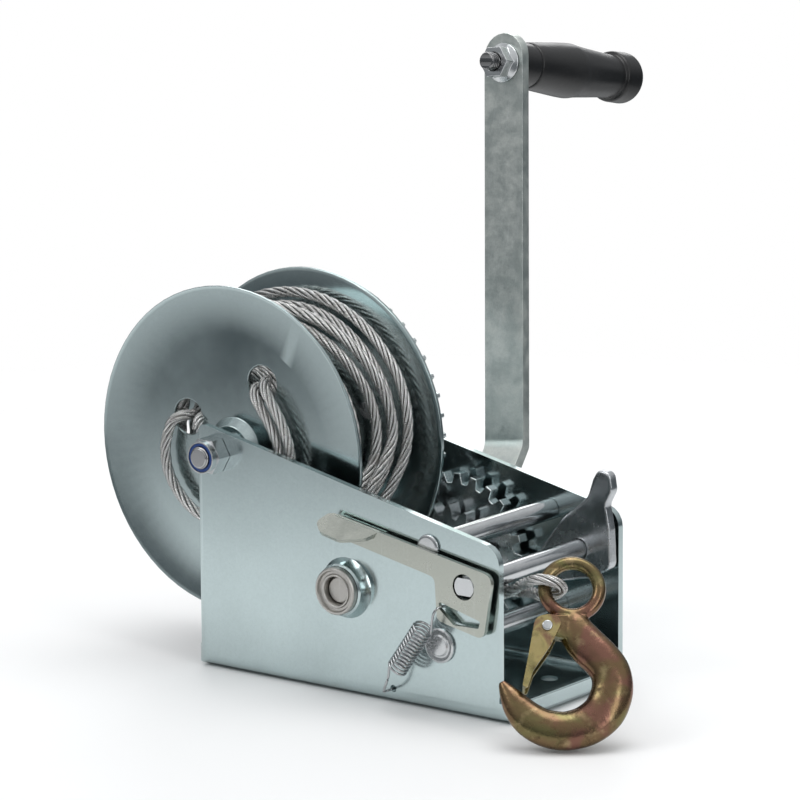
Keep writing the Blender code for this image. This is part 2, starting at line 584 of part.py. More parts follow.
def build_crank(parent, zinc, steel, black, grip_parent):
    """The arm, upright over the drive axis, its nut and washer, and the grip's bolt and nut."""
    half = ARM_WIDTH / 2
    arm = prism("crank_arm", arm_ribbon(), -half, half, zinc, parent, along="X")
    stadium = [(half * math.cos(a), half * math.sin(a)) for a in np.linspace(math.pi, 2 * math.pi, 13)]
    top = CRANK_LENGTH + 3.7 * MM
    stadium += [(half * math.cos(a), top + half * math.sin(a)) for a in np.linspace(0, math.pi, 13)]
    trim = prism("cut_arm_ends", stadium, 40 * MM, 140 * MM, parent=parent)
    combine(arm, [trim], "INTERSECT")
    flats = 6.3 * MM
    square = [(flats, flats), (-flats, flats), (-flats, -flats), (flats, -flats)]
    cut = prism("cut_arm_square", square, 50 * MM, 80 * MM, parent=parent)
    hole = rod("cut_arm_hole", [(-15 * MM, 5.3 * MM), (15 * MM, 5.3 * MM)], parent=grip_parent, steps=20)
    combine(arm, [cut, hole], "DIFFERENCE")
    face = ARM_FOOT_Y + ARM_THICKNESS / 2 + GAP
    ring("crank_washer", 5.3 * MM, 10.5 * MM, face, face + 2 * MM, (0, 0), steel, parent, 24)
    nut = prism("crank_nut", hexagon(16 * MM), face + 2 * MM + GAP, face + 10 * MM, steel, parent)
    combine(nut, [rod("cut_crank_nut", [(50 * MM, 5.3 * MM), (99 * MM, 5.3 * MM)], parent=parent)], "DIFFERENCE")
    surface = ARM_THICKNESS / 2
    end = surface + FERRULE_LENGTH + GRIP_LENGTH
    bolt = [(-surface - 16 * MM, 4.2 * MM), (-surface - 15.2 * MM, 5 * MM), (end - 3 * MM, 5 * MM)]
    bolt += [(end - 3 * MM, 9 * MM), (end - 1.5 * MM, 9 * MM), (end - 0.6 * MM, 7 * MM)]
    rod("grip_bolt", bolt, (0, 0), steel, grip_parent, steps=20)
    low = -surface - GAP
    nut = prism("grip_nut", hexagon(16 * MM), low - 9 * MM, low - 1.2 * MM, steel, grip_parent)
    flange = [(0, low), (11 * MM, low), (11 * MM, low - 0.8 * MM), (7.6 * MM, low - 3.4 * MM), (0, low - 3.4 * MM)]
    combine(nut, [turned("cut_nut_flange", flange, parent=grip_parent, steps=24)], "UNION")
    bore = rod("cut_grip_nut", [(-40 * MM, 5.3 * MM), (0, 5.3 * MM)], parent=grip_parent)
    combine(nut, [bore], "DIFFERENCE")
    ring("grip_ferrule", 5.3 * MM, 12.6 * MM, surface + GAP, surface + FERRULE_LENGTH - GAP, (0, 0), black,
         grip_parent, 28)
    start = surface + FERRULE_LENGTH
    outer = [(0, 12.6), (1.5, 13.1), (14, 14.1), (28, 15.1), (38, 15.5), (41, 15.3), (44, 14.8), (56, 13.9)]
    outer += [(68, 13), (80, 12.5), (80, 13.9), (81.5, 14.5), (92.5, 14.7), (95, 13.6)]
    profile = [(5.3 * MM, start)] + [(r * MM, start + y * MM) for y, r in outer]
    profile += [(9.5 * MM, end), (9.5 * MM, end - 3.3 * MM), (5.3 * MM, end - 3.3 * MM)]
    turned("grip", profile, (0, 0), black, grip_parent, steps=32)


# ---------------------------------------------------------------- pawl and lever


def build_pawl_set(parent, steel, cast, zinc):
    """Everything on the pawl's shaft, measured from that shaft's axis."""
    inside = FRAME_WIDTH / 2 + GAP
    lever_outer = LEVER_INNER_Y - LEVER_SHEET
    stations = [(lever_outer + 0.3 * MM, 6 * MM), (lever_outer + 0.9 * MM, 6.6 * MM), (-58.3 * MM, 6.6 * MM)]
    stations += [(-58.3 * MM, PAWL_SHAFT_RADIUS), (inside, PAWL_SHAFT_RADIUS), (inside, 8 * MM)]
    stations += [(inside + 1.5 * MM, 8 * MM), (inside + 2.2 * MM, 6.5 * MM)]
    shaft = rod("pawl_shaft", stations, (0, 0), steel, parent, steps=24)
    flats = []
    for name, sign in (("upper", 1), ("lower", -1)):
        low, high = sorted((sign * 4.6 * MM, sign * 9 * MM))
        outline = moved([(-9 * MM, low), (9 * MM, low), (9 * MM, high), (-9 * MM, high)], (0, 0))
        flats.append(prism(f"cut_flat_{name}", outline, -70 * MM, -58.3 * MM, parent=parent))
    combine(shaft, flats, "DIFFERENCE")
    bore = PAWL_SHAFT_RADIUS + GAP
    pawl = prism("pawl", pawl_outline(), PAWL_START_Y, PAWL_START_Y + PAWL_WIDTH, cast, parent)
    bevel(pawl, 0.8 * MM)
    combine(pawl, [rod("cut_pawl", [(0, bore), (60 * MM, bore)], parent=parent, steps=24)], "DIFFERENCE")
    lever = prism("control_lever", lever_outline(), lever_outer, LEVER_INNER_Y, zinc, parent)
    # The thumb tab, a leaf bent out and down from the sloping top edge
    along = Vector((math.cos(TAB_SLOPE), 0, -math.sin(TAB_SLOPE)))
    inward = Vector((0, math.cos(TAB_FALL), math.sin(TAB_FALL)))
    inward = (inward - along * inward.dot(along)).normalized()
    place = empty("tab_place", (-3 * MM - PAWL_AXIS[0], LEVER_INNER_Y - MM, 97 * MM - PAWL_AXIS[1]),
                  Matrix((along, inward.cross(along), inward)).transposed())
    place.parent = parent
    leaf = [(-4, -1, 2), (-7, -8, 4), (-1, -13, 5), (12, -13.5, 8), (25, -7, 8), (30, 0.6, 0.3), (-1, 0.6, 0.3)]
    leaf = rounded([(x * MM, z * MM, r * MM) for x, z, r in leaf])
    combine(lever, [prism("cut_tab", leaf, -LEVER_SHEET / 2, LEVER_SHEET / 2, parent=place)], "UNION")
    hole = rod("cut_lever_hole", [(-70 * MM, 6.9 * MM), (-50 * MM, 6.9 * MM)], parent=parent, steps=24)
    slot = [(64.9, 61.2, 1), (65.6, 57.2, 1), (74.6, 50, 1.6), (90.4, 50.4, 0.8), (91.6, 54.4, 1)]
    slot = rounded([(x * MM - PAWL_AXIS[0], z * MM - PAWL_AXIS[1], r * MM) for x, z, r in slot])
    combine(lever, [hole, prism("cut_lance", slot, -70 * MM, -50 * MM, parent=parent)], "DIFFERENCE")


def pawl_outline():
    """The pawl about its shaft: thumb lever up and forwards, nose down and back towards the ratchet."""
    to_drive = math.atan2(DRIVE_AXIS[1] - PAWL_AXIS[1], DRIVE_AXIS[0] - PAWL_AXIS[0])
    nose = to_drive + math.radians(PAWL_REST_DEG)
    tip = Vector((math.cos(nose), math.sin(nose))) * PAWL_REACH
    side = Vector((-math.sin(nose), math.cos(nose)))
    lower, upper = tip + side * 1.3 * MM, tip - side * 1.3 * MM
    neck_upper, neck_lower = tip * 0.8 - side * 6 * MM, tip * 0.78 + side * 6.5 * MM
    body = [(60.6, 73.5, 4), (70, 86, 8), (86.9, 100.4, 8), (90, 110, 3), (93.5, 116, 4), (101, 114.5, 4)]
    body += [(102.6, 105, 5), (98.4, 97, 5), (101, 84, 5), (102, 63, 5), (88, 56, 6)]
    body = [(x * MM - PAWL_AXIS[0], z * MM - PAWL_AXIS[1], r * MM) for x, z, r in body]
    nose_points = [(neck_lower.x, neck_lower.y, 3 * MM), (lower.x, lower.y, 0), (upper.x, upper.y, 0)]
    return rounded(nose_points + [(neck_upper.x, neck_upper.y, 3 * MM)] + body, 3)


def lever_outline():
    corners = [(-1.5, 90.5, 3), (6.3, 84.9, 4), (62.4, 73.6, 4), (64, 51, 3), (93.7, 45, 4), (99.3, 79.2, 5), (-3, 98, 1)]
    return rounded([(x * MM - PAWL_AXIS[0], z * MM - PAWL_AXIS[1], r * MM) for x, z, r in corners])


def meshed(obj):
    """The same object as a mesh, so that a Boolean can take it."""
    name = obj.name
    mesh = bpy.data.meshes.new_from_object(obj)
    bpy.data.objects.remove(obj)
    made = bpy.data.objects.new(name, mesh)
    bpy.context.collection.objects.link(made)
    return made


def build_spring(wire):
    """The lever's extension spring as one plain solid: its coil's envelope and its two bent ends."""
    top = Vector((SPRING_TOP[0], SPRING_Y, SPRING_TOP[1]))
    bottom = Vector((SPRING_HOLE[0], SPRING_Y, SPRING_HOLE[1]))
    down = (bottom - top).normalized()
    coil_top, coil_bottom = top + down * 13.5 * MM, top + down * 44.5 * MM
    coil = meshed(tube("lever_spring", [coil_top.lerp(coil_bottom, k / 4) for k in range(5)], SPRING_RADIUS, wire, resolution=3))
    across = Vector((0, MM, 0))
    ends = {
        "cut_end_top": [top + across * 8.4, top + across * 4, top + down * 5 * MM, coil_top + down * 3 * MM],
        "cut_end_foot": [coil_bottom - down * 3 * MM, bottom - down * 5 * MM, bottom + across * 4, bottom + across * 13.8],
    }
    for name, points in ends.items():
        route = smooth_route([tuple(p) for p in points], 3 * MM)
        combine(coil, [meshed(tube(name, route, SPRING_WIRE, wire))], "UNION")


# ---------------------------------------------------------------- rope and hook

# The free rope: off the drum's underside, under the drive shaft and the pawl's shaft, through the
# hook's eye from the front, and back into the ferrule
TAIL_ROUTE = [
    tuple(v * MM for v in p)
    for p in (
        (-80, -9, 36.2), (-60, -10, 38.2), (-35, -12, 41.2), (-10, -14, 44.6), (10, -16, 47.6), (30, -18.4, 51.2),
        (48, -20.4, 54.8), (62, -22, 57.2), (74, -23.4, 59.4), (82, -25, 61), (89, -27.8, 64.2), (95.4, -31.2, 68),
        (103.2, -37.4, 71.7), (110.6, -44.8, 74.6), (116, -50.1, 77.3), (120.9, -53.3, 79.4), (126.7, -52.5, 79.9),
        (130.9, -48, 77.8), (130.6, -43.6, 74.1), (125.6, -41.9, 70.3), (119.9, -43.4, 68.5), (112.6, -39.4, 67.1),
        (103.6, -31.4, 65.3), (95, -24, 63), (86, -18.8, 61), (76, -16.9, 59.2), (66, -15.7, 57.6), (56, -14.4, 55.8),
    )
]


def hook_rotation():
    up = -Vector(HOOK_DOWN).normalized()
    across = Vector(HOOK_ACROSS)
    across = (across - up * across.dot(up)).normalized()
    return Matrix((across, up.cross(across), up)).transposed()


# The hook's bar from the eye to the point: across, down, width and thickness in millimetres
HOOK_BAR = (
    (0.3, 13.5, 12.5, 7), (1.5, 18, 16, 10), (4.5, 24, 19, 12), (9.5, 30, 20.5, 13), (16, 36, 20.5, 14),
    (21, 42.5, 20.5, 15), (22.7, 50, 21, 15), (21.8, 57, 21.5, 15), (18.4, 64.8, 21.5, 15), (10.7, 71.6, 21, 15),
    (1.7, 74.9, 20.2, 15), (-5.2, 75.1, 19.9, 14.5), (-12.5, 73.4, 19, 13.5), (-19.3, 69.4, 17.8, 12),
    (-24.7, 63.9, 15, 10.5), (-28.6, 58.6, 11, 8.5), (-31.8, 53.8, 6.4, 6), (-33.2, 51.4, 3.6, 4.5),
)


def loft_bar(name, stations, finish, parent, sides=12):
    """Elliptical rings along a smooth centreline in XZ, closed at both ends."""
    fine = smooth_route([tuple(s) for s in ((a, w, -b) for a, b, w, t in stations)], 7)
    flat = fine[:, [0, 2]]
    along = np.concatenate([[0], np.cumsum(np.linalg.norm(np.diff(flat, axis=0), axis=1))])
    marks = np.array([[a, -b] for a, b, w, t in stations])
    mark_at = [along[np.linalg.norm(flat - m, axis=1).argmin()] for m in marks]
    widths = np.interp(along, mark_at, [w for a, b, w, t in stations])
    depths = np.interp(along, mark_at, [t for a, b, w, t in stations])
    headings = np.gradient(flat, axis=0)
    headings /= np.linalg.norm(headings, axis=1)[:, None]
    points = []
    for (x, z), (hx, hz), width, depth in zip(flat, headings, widths, depths):
        for k in range(sides):
            angle = 2 * math.pi * k / sides
            across, out = width / 2 * math.cos(angle), depth / 2 * math.sin(angle)
            points.append(((x - hz * across) * MM, out * MM, (z + hx * across) * MM))
    rings = len(flat)
    faces = [tuple(range(sides)), tuple(range((rings - 1) * sides, rings * sides))]
    for i in range(rings - 1):
        for k in range(sides):
            a, b = i * sides + k, i * sides + (k + 1) % sides
            faces.append((a, b, b + sides, a + sides))
    return add(name, points, faces, finish, parent)


def build_hook(eye, latch_axis, gold, bright, steel):
    bar = loft_bar("hook", HOOK_BAR, gold, eye)
    circle = [
        (EYE_WIRE_RADIUS * math.cos(a) + EYE_RING_RADIUS, EYE_WIRE_RADIUS * math.sin(a))
        for a in np.linspace(0, 2 * math.pi, 12, endpoint=False)
    ]
    lug = [(-4.6 * MM, 4.8 * MM), (4.6 * MM, 4.8 * MM)]
    bridge = [(-13, -15.5), (-2, -15), (3, -28), (-12, -26.4)]
    bridge = prism("cut_bridge", [(x * MM, z * MM) for x, z in bridge], -4.4 * MM, 4.4 * MM, parent=eye)
    shapes = [turned("cut_eye", circle, parent=eye, steps=28), rod("cut_lug", lug, LATCH_PIVOT, parent=eye), bridge]
    combine(bar, shapes, "UNION")
    hole = rod("cut_rivet", [(-9 * MM, 2.3 * MM), (9 * MM, 2.3 * MM)], LATCH_PIVOT, parent=eye, steps=12)
    combine(bar, [hole], "DIFFERENCE")
    cheek = [(-11.6, -15.9, 5), (-18, -17.6, 5), (-19.4, -29, 6), (-20.9, -41, 9), (-22.8, -54.2, 1)]
    cheek += [(-20.4, -56, 1), (-17.6, -46, 6), (-9.8, -33, 6), (-4.9, -21, 5), (-5.5, -16.4, 4)]
    cheek = rounded([(x * MM - LATCH_PIVOT[0], z * MM - LATCH_PIVOT[1], r * MM) for x, z, r in cheek], 3)
    latch = prism("hook_latch", cheek, -6.5 * MM, 6.5 * MM, gold, latch_axis)
    inside = [(-16.6, 0), (-16.8, -18), (-18, -29), (-19.5, -41), (-21.9, -58), (4, -58), (4, 0)]
    inside = [(x * MM - LATCH_PIVOT[0], z * MM - LATCH_PIVOT[1]) for x, z in inside]
    bore = rod("cut_latch_bore", [(-9 * MM, 2.3 * MM), (9 * MM, 2.3 * MM)], parent=latch_axis, steps=12)
    combine(latch, [prism("cut_latch", inside, -5.2 * MM, 5.2 * MM, parent=latch_axis), bore], "DIFFERENCE")
    pin = [(-8 * MM, 2 * MM), (-7.6 * MM, 2.7 * MM), (-6.8 * MM, 2.8 * MM), (-6.8 * MM, 2 * MM)]
    rod("latch_rivet", pin + [(-y, r) for y, r in reversed(pin)], LATCH_PIVOT, bright, eye, steps=16)


def build_rope_tail(rope, silver):
    tube("rope_tail", smooth_route(TAIL_ROUTE, 4.4 * MM), ROPE_RADIUS, rope)
    # The ferrule holds both legs, side by side in a slot a little wider than two ropes
    start, end = Vector((59, -18.4, 56.6)) * MM, Vector((74, -20.2, 59.4)) * MM
    middle, run = (start + end) / 2, end - start
    turn = run.to_track_quat("Y", "Z").to_matrix()
    place = empty("ferrule_place", middle, turn)
    half = run.length / 2
    outer = rounded([(-8.4 * MM, -4.6 * MM, 4.5 * MM), (8.4 * MM, -4.6 * MM, 4.5 * MM),
                     (8.4 * MM, 4.6 * MM, 4.5 * MM), (-8.4 * MM, 4.6 * MM, 4.5 * MM)])
    inner = rounded([(-7.2 * MM, -3.6 * MM, 3.4 * MM), (7.2 * MM, -3.6 * MM, 3.4 * MM),
                     (7.2 * MM, 3.6 * MM, 3.4 * MM), (-7.2 * MM, 3.6 * MM, 3.4 * MM)])
    ferrule = prism("rope_ferrule", outer, -half, half, silver, place)
    combine(ferrule, [prism("cut_ferrule", inner, -2 * half, 2 * half, parent=place)], "DIFFERENCE")


# ---------------------------------------------------------------- the winch


def main():
    clear_scene()
    zinc = material("zinc_plate", (0.55, 0.60, 0.62), 1.0, 0.3)
    steel = material("bright_steel", (0.68, 0.69, 0.70), 1.0, 0.22)
    cast = material("cast_steel", (0.42, 0.43, 0.45), 1.0, 0.4)
    gold = material("yellow_zinc", (0.50, 0.38, 0.22), 1.0, 0.35)
    rope = material("wire_rope", (0.60, 0.61, 0.62), 1.0, 0.35)
    bronze = material("bush_bronze", (0.50, 0.42, 0.30), 1.0, 0.4)
    black = material("black_plastic", (0.02, 0.02, 0.02), 0.0, 0.45)
    insert = material("blue_nylon", (0.03, 0.12, 0.45), 0.0, 0.5)

    build_frame(zinc)
    build_rods(steel)
    build_drum_bolt(steel, insert)
    drum = empty("drum_axis", (DRUM_AXIS[0], 0, DRUM_AXIS[1]))
    build_drum(drum, zinc, steel, rope)
    drive = empty("drive_axis", (DRIVE_AXIS[0], 0, DRIVE_AXIS[1]))
    crank = empty("crank_turn", (0, 0, 0), Matrix.Rotation(-CRANK_BACK, 3, "Y"))
    crank.parent = drive
    build_drive(drive, crank, zinc, steel)
    build_bushes(bronze)
    grip_place, grip_turn = grip_frame()
    grip = empty("grip_axis", grip_place, grip_turn)
    grip.parent = crank
    build_crank(crank, zinc, steel, black, grip)
    pawl = empty("pawl_axis", (PAWL_AXIS[0], 0, PAWL_AXIS[1]))
    build_pawl_set(pawl, steel, cast, zinc)
    build_spring(steel)
    eye = empty("hook_eye", HOOK_EYE, hook_rotation())
    latch = empty("latch_axis", (LATCH_PIVOT[0], 0, LATCH_PIVOT[1]))
    latch.parent = eye
    build_hook(eye, latch, gold, steel, steel)
    build_rope_tail(rope, steel)


main()
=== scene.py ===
"""Boat trailer winch looks: plated steel, loose wire rope, a yellow-zinc hook and a moulded grip."""

import json
import math

import bmesh
import bpy
import numpy as np
from bpy.props import FloatProperty, FloatVectorProperty, IntProperty, PointerProperty
from mathutils import Matrix, Vector


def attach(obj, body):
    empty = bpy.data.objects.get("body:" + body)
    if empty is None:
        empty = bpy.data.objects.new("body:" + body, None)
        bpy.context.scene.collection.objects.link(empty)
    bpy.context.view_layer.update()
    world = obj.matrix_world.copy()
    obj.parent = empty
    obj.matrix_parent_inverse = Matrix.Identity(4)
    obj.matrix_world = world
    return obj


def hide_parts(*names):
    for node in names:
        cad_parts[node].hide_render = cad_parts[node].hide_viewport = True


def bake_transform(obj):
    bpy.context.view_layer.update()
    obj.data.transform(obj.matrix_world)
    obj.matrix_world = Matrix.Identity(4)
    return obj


bl_info = {
    "name": "Boat Trailer Winch",
    "version": (1, 0, 0),
    "blender": (4, 5, 0),
    "location": "3D View > Sidebar > Winch",
    "description": "Finishes a hand winch: plated sheet, gears, laid wire rope, spring, grip and hook",
    "category": "Object",
}

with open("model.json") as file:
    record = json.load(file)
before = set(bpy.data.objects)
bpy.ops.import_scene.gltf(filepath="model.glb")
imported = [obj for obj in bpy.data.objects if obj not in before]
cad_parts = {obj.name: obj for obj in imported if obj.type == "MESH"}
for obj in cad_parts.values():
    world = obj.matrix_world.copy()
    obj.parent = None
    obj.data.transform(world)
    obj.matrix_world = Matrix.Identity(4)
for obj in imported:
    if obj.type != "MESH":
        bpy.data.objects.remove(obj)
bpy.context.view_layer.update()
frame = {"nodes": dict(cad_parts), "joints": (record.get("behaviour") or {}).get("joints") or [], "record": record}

MM = 0.001
WIRE_PITCH = 0.9 * MM  # between a strand's wires, measured along the rope
GRIP_START, GRIP_LENGTH = 17.5 * MM, 95 * MM  # from the arm's middle along the grip's bolt
DRUM_AXIS = tuple(frame["joints"][0]["pos_m"])
SLOT_OF = {part["node"]: part["material_slot"] for part in frame["record"]["subparts"]}
BODY_OF = {node: body for body, nodes in frame["record"]["behaviour"]["bodies"].items() for node in nodes}


# ---------------------------------------------------------------- settings


class WinchSizes(bpy.types.PropertyGroup):
    """Sizes a user may change without touching the solid frame."""

    rope_diameter: FloatProperty(
        name="Rope diameter", description="Across the laid rope", default=6 * MM, min=MM, unit="LENGTH", precision=4
    )
    rope_lay: FloatProperty(
        name="Lay length", description="Along the rope for one turn of a strand", default=42 * MM, min=MM,
        unit="LENGTH", precision=4
    )
    spring_coils: FloatProperty(name="Spring coils", description="Turns in the lever's spring", default=13.5, min=1)
    spring_wire: FloatProperty(
        name="Spring wire", description="Diameter of the spring's wire", default=1.35 * MM, min=0.1 * MM,
        unit="LENGTH", precision=5
    )
    edge_round: FloatProperty(
        name="Edge rounding", description="Width of the rounding on cut edges", default=0.45 * MM, min=0,
        unit="LENGTH", precision=5
    )
    grip_sides: IntProperty(name="Grip sides", description="Facets round the grip", default=72, min=12, max=256)


class WinchColours(bpy.types.PropertyGroup):
    """Base colours of the main finishes."""

    plate: FloatVectorProperty(
        name="Zinc plate", description="Cool grey of the plated sheet", subtype="COLOR", size=3,
        default=(0.47, 0.555, 0.56), min=0, max=1
    )
    bright: FloatVectorProperty(
        name="Bright steel", description="Rods, nuts and shafts", subtype="COLOR", size=3,
        default=(0.56, 0.58, 0.59), min=0, max=1
    )
    bar: FloatVectorProperty(
        name="Crank bar", description="Mottled plating on the crank", subtype="COLOR", size=3,
        default=(0.60, 0.65, 0.62), min=0, max=1
    )
    hook: FloatVectorProperty(
        name="Yellow zinc", description="Passivated plating on the hook", subtype="COLOR", size=3,
        default=(0.165, 0.11, 0.06), min=0, max=1
    )
    rope: FloatVectorProperty(
        name="Wire rope", description="Galvanised wire", subtype="COLOR", size=3,
        default=(0.86, 0.86, 0.85), min=0, max=1
    )
    grip: FloatVectorProperty(
        name="Grip plastic", description="Black moulding", subtype="COLOR", size=3,
        default=(0.006, 0.006, 0.0065), min=0, max=1
    )


# ---------------------------------------------------------------- node groups and materials


def socket(tree, name, in_out, kind, default=None):
    made = tree.interface.new_socket(name=name, in_out=in_out, socket_type=kind)
    if default is not None:
        made.default_value = default
    return made


def new_group(name, inputs, outputs):
    """A shader node group with its sockets and its two end nodes."""
    tree = bpy.data.node_groups.new(name, "ShaderNodeTree")
    for label, kind, default in inputs:
        socket(tree, label, "INPUT", kind, default)
    for label, kind in outputs:
        socket(tree, label, "OUTPUT", kind)
    return tree, tree.nodes.new("NodeGroupInput"), tree.nodes.new("NodeGroupOutput")


def put(tree, kind, settings=None, **values):
    """A node with its properties and its unlinked inputs set."""
    node = tree.nodes.new(kind)
    for key, value in (settings or {}).items():
        setattr(node, key, value)
    for key, value in values.items():
        node.inputs[key.replace("_", " ")].default_value = value
    return node


def stretch(tree, source, scale):
    """Object coordinates stretched along each axis."""
    mapping = put(tree, "ShaderNodeMapping", Scale=scale)
    tree.links.new(source, mapping.inputs["Vector"])
    return mapping.outputs["Vector"]


def noise(tree, vector, scale, detail=4.0, roughness=0.55):
    node = put(tree, "ShaderNodeTexNoise", Scale=scale, Detail=detail, Roughness=roughness)
    tree.links.new(vector, node.inputs["Vector"])
    return node.outputs["Fac"]


def ramp(tree, source, low, high, to_low=0.0, to_high=1.0):
    node = put(tree, "ShaderNodeMapRange", {"clamp": True})
    for index, value in enumerate((low, high, to_low, to_high)):
        node.inputs[index + 1].default_value = value
    tree.links.new(source, node.inputs[0])
    return node.outputs[0]


def maths(tree, operation, first, second):
    node = put(tree, "ShaderNodeMath", {"operation": operation})
    for index, value in enumerate((first, second)):
        if isinstance(value, (int, float)):
            node.inputs[index].default_value = value
        else:
            tree.links.new(value, node.inputs[index])
    return node.outputs[0]


def blend_colour(tree, factor, first, second, kind="MIX"):
    node = put(tree, "ShaderNodeMix", {"data_type": "RGBA", "blend_type": kind})
    for name, value in (("Factor", factor), ("A", first), ("B", second)):
        sockets = [s for s in node.inputs if s.name == name and (name == "Factor" or s.type == "RGBA")]
        if isinstance(value, (int, float, tuple)):
            sockets[0].default_value = value if name == "Factor" else (*value[:3], 1)
        else:
            tree.links.new(value, sockets[0])
    return [s for s in node.outputs if s.type == "RGBA"][0]


def plated_group():
    """Plating: cloudy patches between two tones, fine rubbing marks, faint grain in the surface."""
    inputs = [
        ("Colour", "NodeSocketColor", (0.5, 0.5, 0.5, 1)),
        ("Patch colour", "NodeSocketColor", (0.6, 0.6, 0.6, 1)),
        ("Patch scale", "NodeSocketFloat", 22.0),
        ("Patches", "NodeSocketFloat", 0.5),
        ("Rubbing", "NodeSocketFloat", 0.5),
        ("Smooth", "NodeSocketFloat", 0.2),
        ("Worn", "NodeSocketFloat", 0.35),
        ("Grain", "NodeSocketFloat", 0.1),
    ]
    outputs = [("Colour", "NodeSocketColor"), ("Roughness", "NodeSocketFloat"), ("Normal", "NodeSocketVector")]
    tree, into, out = new_group("Plating", inputs, outputs)
    place = put(tree, "ShaderNodeTexCoord").outputs["Object"]
    link = tree.links.new
    cloud_node = put(tree, "ShaderNodeTexNoise", Detail=5.0, Roughness=0.6)
    link(place, cloud_node.inputs["Vector"])
    link(into.outputs["Patch scale"], cloud_node.inputs["Scale"])
    cloud = ramp(tree, cloud_node.outputs["Fac"], 0.38, 0.64)
    speck = ramp(tree, noise(tree, place, 900.0, 3.0), 0.35, 0.7)
    amount = maths(tree, "MULTIPLY", cloud, into.outputs["Patches"])
    tone = blend_colour(tree, amount, into.outputs["Colour"], into.outputs["Patch colour"])
    upright = noise(tree, stretch(tree, place, (1100, 90, 22)), 1.0, 3.0)
    marks = ramp(tree, upright, 0.6, 0.78)
    marks = maths(tree, "MULTIPLY", marks, into.outputs["Rubbing"])
    light = blend_colour(tree, marks, tone, (0.85, 0.88, 0.9))
    fade = maths(tree, "MULTIPLY", speck, 0.09)
    link(blend_colour(tree, fade, light, (0.12, 0.13, 0.14)), out.inputs["Colour"])
    spread = maths(tree, "SUBTRACT", into.outputs["Worn"], into.outputs["Smooth"])
    dull = maths(tree, "MAXIMUM", maths(tree, "MULTIPLY", cloud, 0.7), marks)
    link(maths(tree, "ADD", into.outputs["Smooth"],
               maths(tree, "MULTIPLY", dull, spread)), out.inputs["Roughness"])
    bump = put(tree, "ShaderNodeBump", Distance=0.0002)
    link(noise(tree, place, 420.0, 4.0), bump.inputs["Height"])
    link(into.outputs["Grain"], bump.inputs["Strength"])
    link(bump.outputs["Normal"], out.inputs["Normal"])
    return tree


def rainbow_group():
    """Yellow passivation: brown-gold broken by olive and rose clouds, darker in small specks, with pale specks as
    painted glints.
    """
    inputs = [
        ("Colour", "NodeSocketColor", (0.4, 0.3, 0.15, 1)),
        ("Cloud scale", "NodeSocketFloat", 60.0),
        ("Strength", "NodeSocketFloat", 0.8),
    ]
    outputs = [("Colour", "NodeSocketColor"), ("Roughness", "NodeSocketFloat"), ("Normal", "NodeSocketVector")]
    tree, into, out = new_group("Passivation", inputs, outputs)
    place = put(tree, "ShaderNodeTexCoord").outputs["Object"]
    link = tree.links.new
    first = put(tree, "ShaderNodeTexNoise", Detail=3.0, Roughness=0.5, Distortion=0.6)
    link(place, first.inputs["Vector"])
    link(into.outputs["Cloud scale"], first.inputs["Scale"])
    olive = maths(tree, "MULTIPLY", ramp(tree, first.outputs["Fac"], 0.5, 0.68), into.outputs["Strength"])
    rose = maths(tree, "MULTIPLY", ramp(tree, first.outputs["Fac"], 0.46, 0.34), into.outputs["Strength"])
    tone = blend_colour(tree, olive, into.outputs["Colour"], (0.17, 0.165, 0.07))
    tone = blend_colour(tree, rose, tone, (0.20, 0.095, 0.075))
    fleck = ramp(tree, noise(tree, place, 210.0, 5.0, 0.65), 0.56, 0.72)
    tone = blend_colour(tree, maths(tree, "MULTIPLY", fleck, 0.7), tone, (0.075, 0.05, 0.03))
    # Painted highlight: small pale specks standing in for glints of light on the plating
    painted_glint = ramp(tree, noise(tree, place, 120.0, 3.0), 0.58, 0.75)
    link(blend_colour(tree, maths(tree, "MULTIPLY", painted_glint, 0.5), tone, (0.46, 0.36, 0.20)), out.inputs["Colour"])
    link(ramp(tree, fleck, 0, 1, 0.24, 0.5), out.inputs["Roughness"])
    bump = put(tree, "ShaderNodeBump", Strength=0.35, Distance=0.0006)
    link(noise(tree, place, 170.0, 5.0, 0.6), bump.inputs["Height"])
    link(bump.outputs["Normal"], out.inputs["Normal"])
    return tree


def finish(name):
    """One of this file's own finishes; the prefix keeps it apart from the solid frame's plain ones."""
    return bpy.data.materials["finish_" + name]


def material(name, metallic, roughness=0.3):
    made = bpy.data.materials.new("finish_" + name)
    made.use_nodes = True
    shader = made.node_tree.nodes["Principled BSDF"]
    shader.inputs["Metallic"].default_value = metallic
    shader.inputs["Roughness"].default_value = roughness
    return made, made.node_tree, shader


def plated(name, colour, patch, **values):
    """A plated metal: the Plating group with this finish's own values."""
    made, tree, shader = material(name, 1.0)
    group = put(tree, "ShaderNodeGroup", {"node_tree": bpy.data.node_groups["Plating"]})
    group.inputs["Colour"].default_value = (*colour, 1)
    group.inputs["Patch colour"].default_value = (*patch, 1)
    for key, value in values.items():
        group.inputs[key.replace("_", " ")].default_value = value
    tree.links.new(group.outputs["Colour"], shader.inputs["Base Color"])
    tree.links.new(group.outputs["Roughness"], shader.inputs["Roughness"])
    tree.links.new(group.outputs["Normal"], shader.inputs["Normal"])
    return made


def yellow_zinc(name, colour, scale):
    made, tree, shader = material(name, 1.0)
    group = put(tree, "ShaderNodeGroup", {"node_tree": bpy.data.node_groups["Passivation"]})
    group.inputs["Colour"].default_value = (*colour, 1)
    group.inputs["Cloud scale"].default_value = scale
    for label, target in (("Colour", "Base Color"), ("Roughness", "Roughness"), ("Normal", "Normal")):
        tree.links.new(group.outputs[label], shader.inputs[target])
    return made


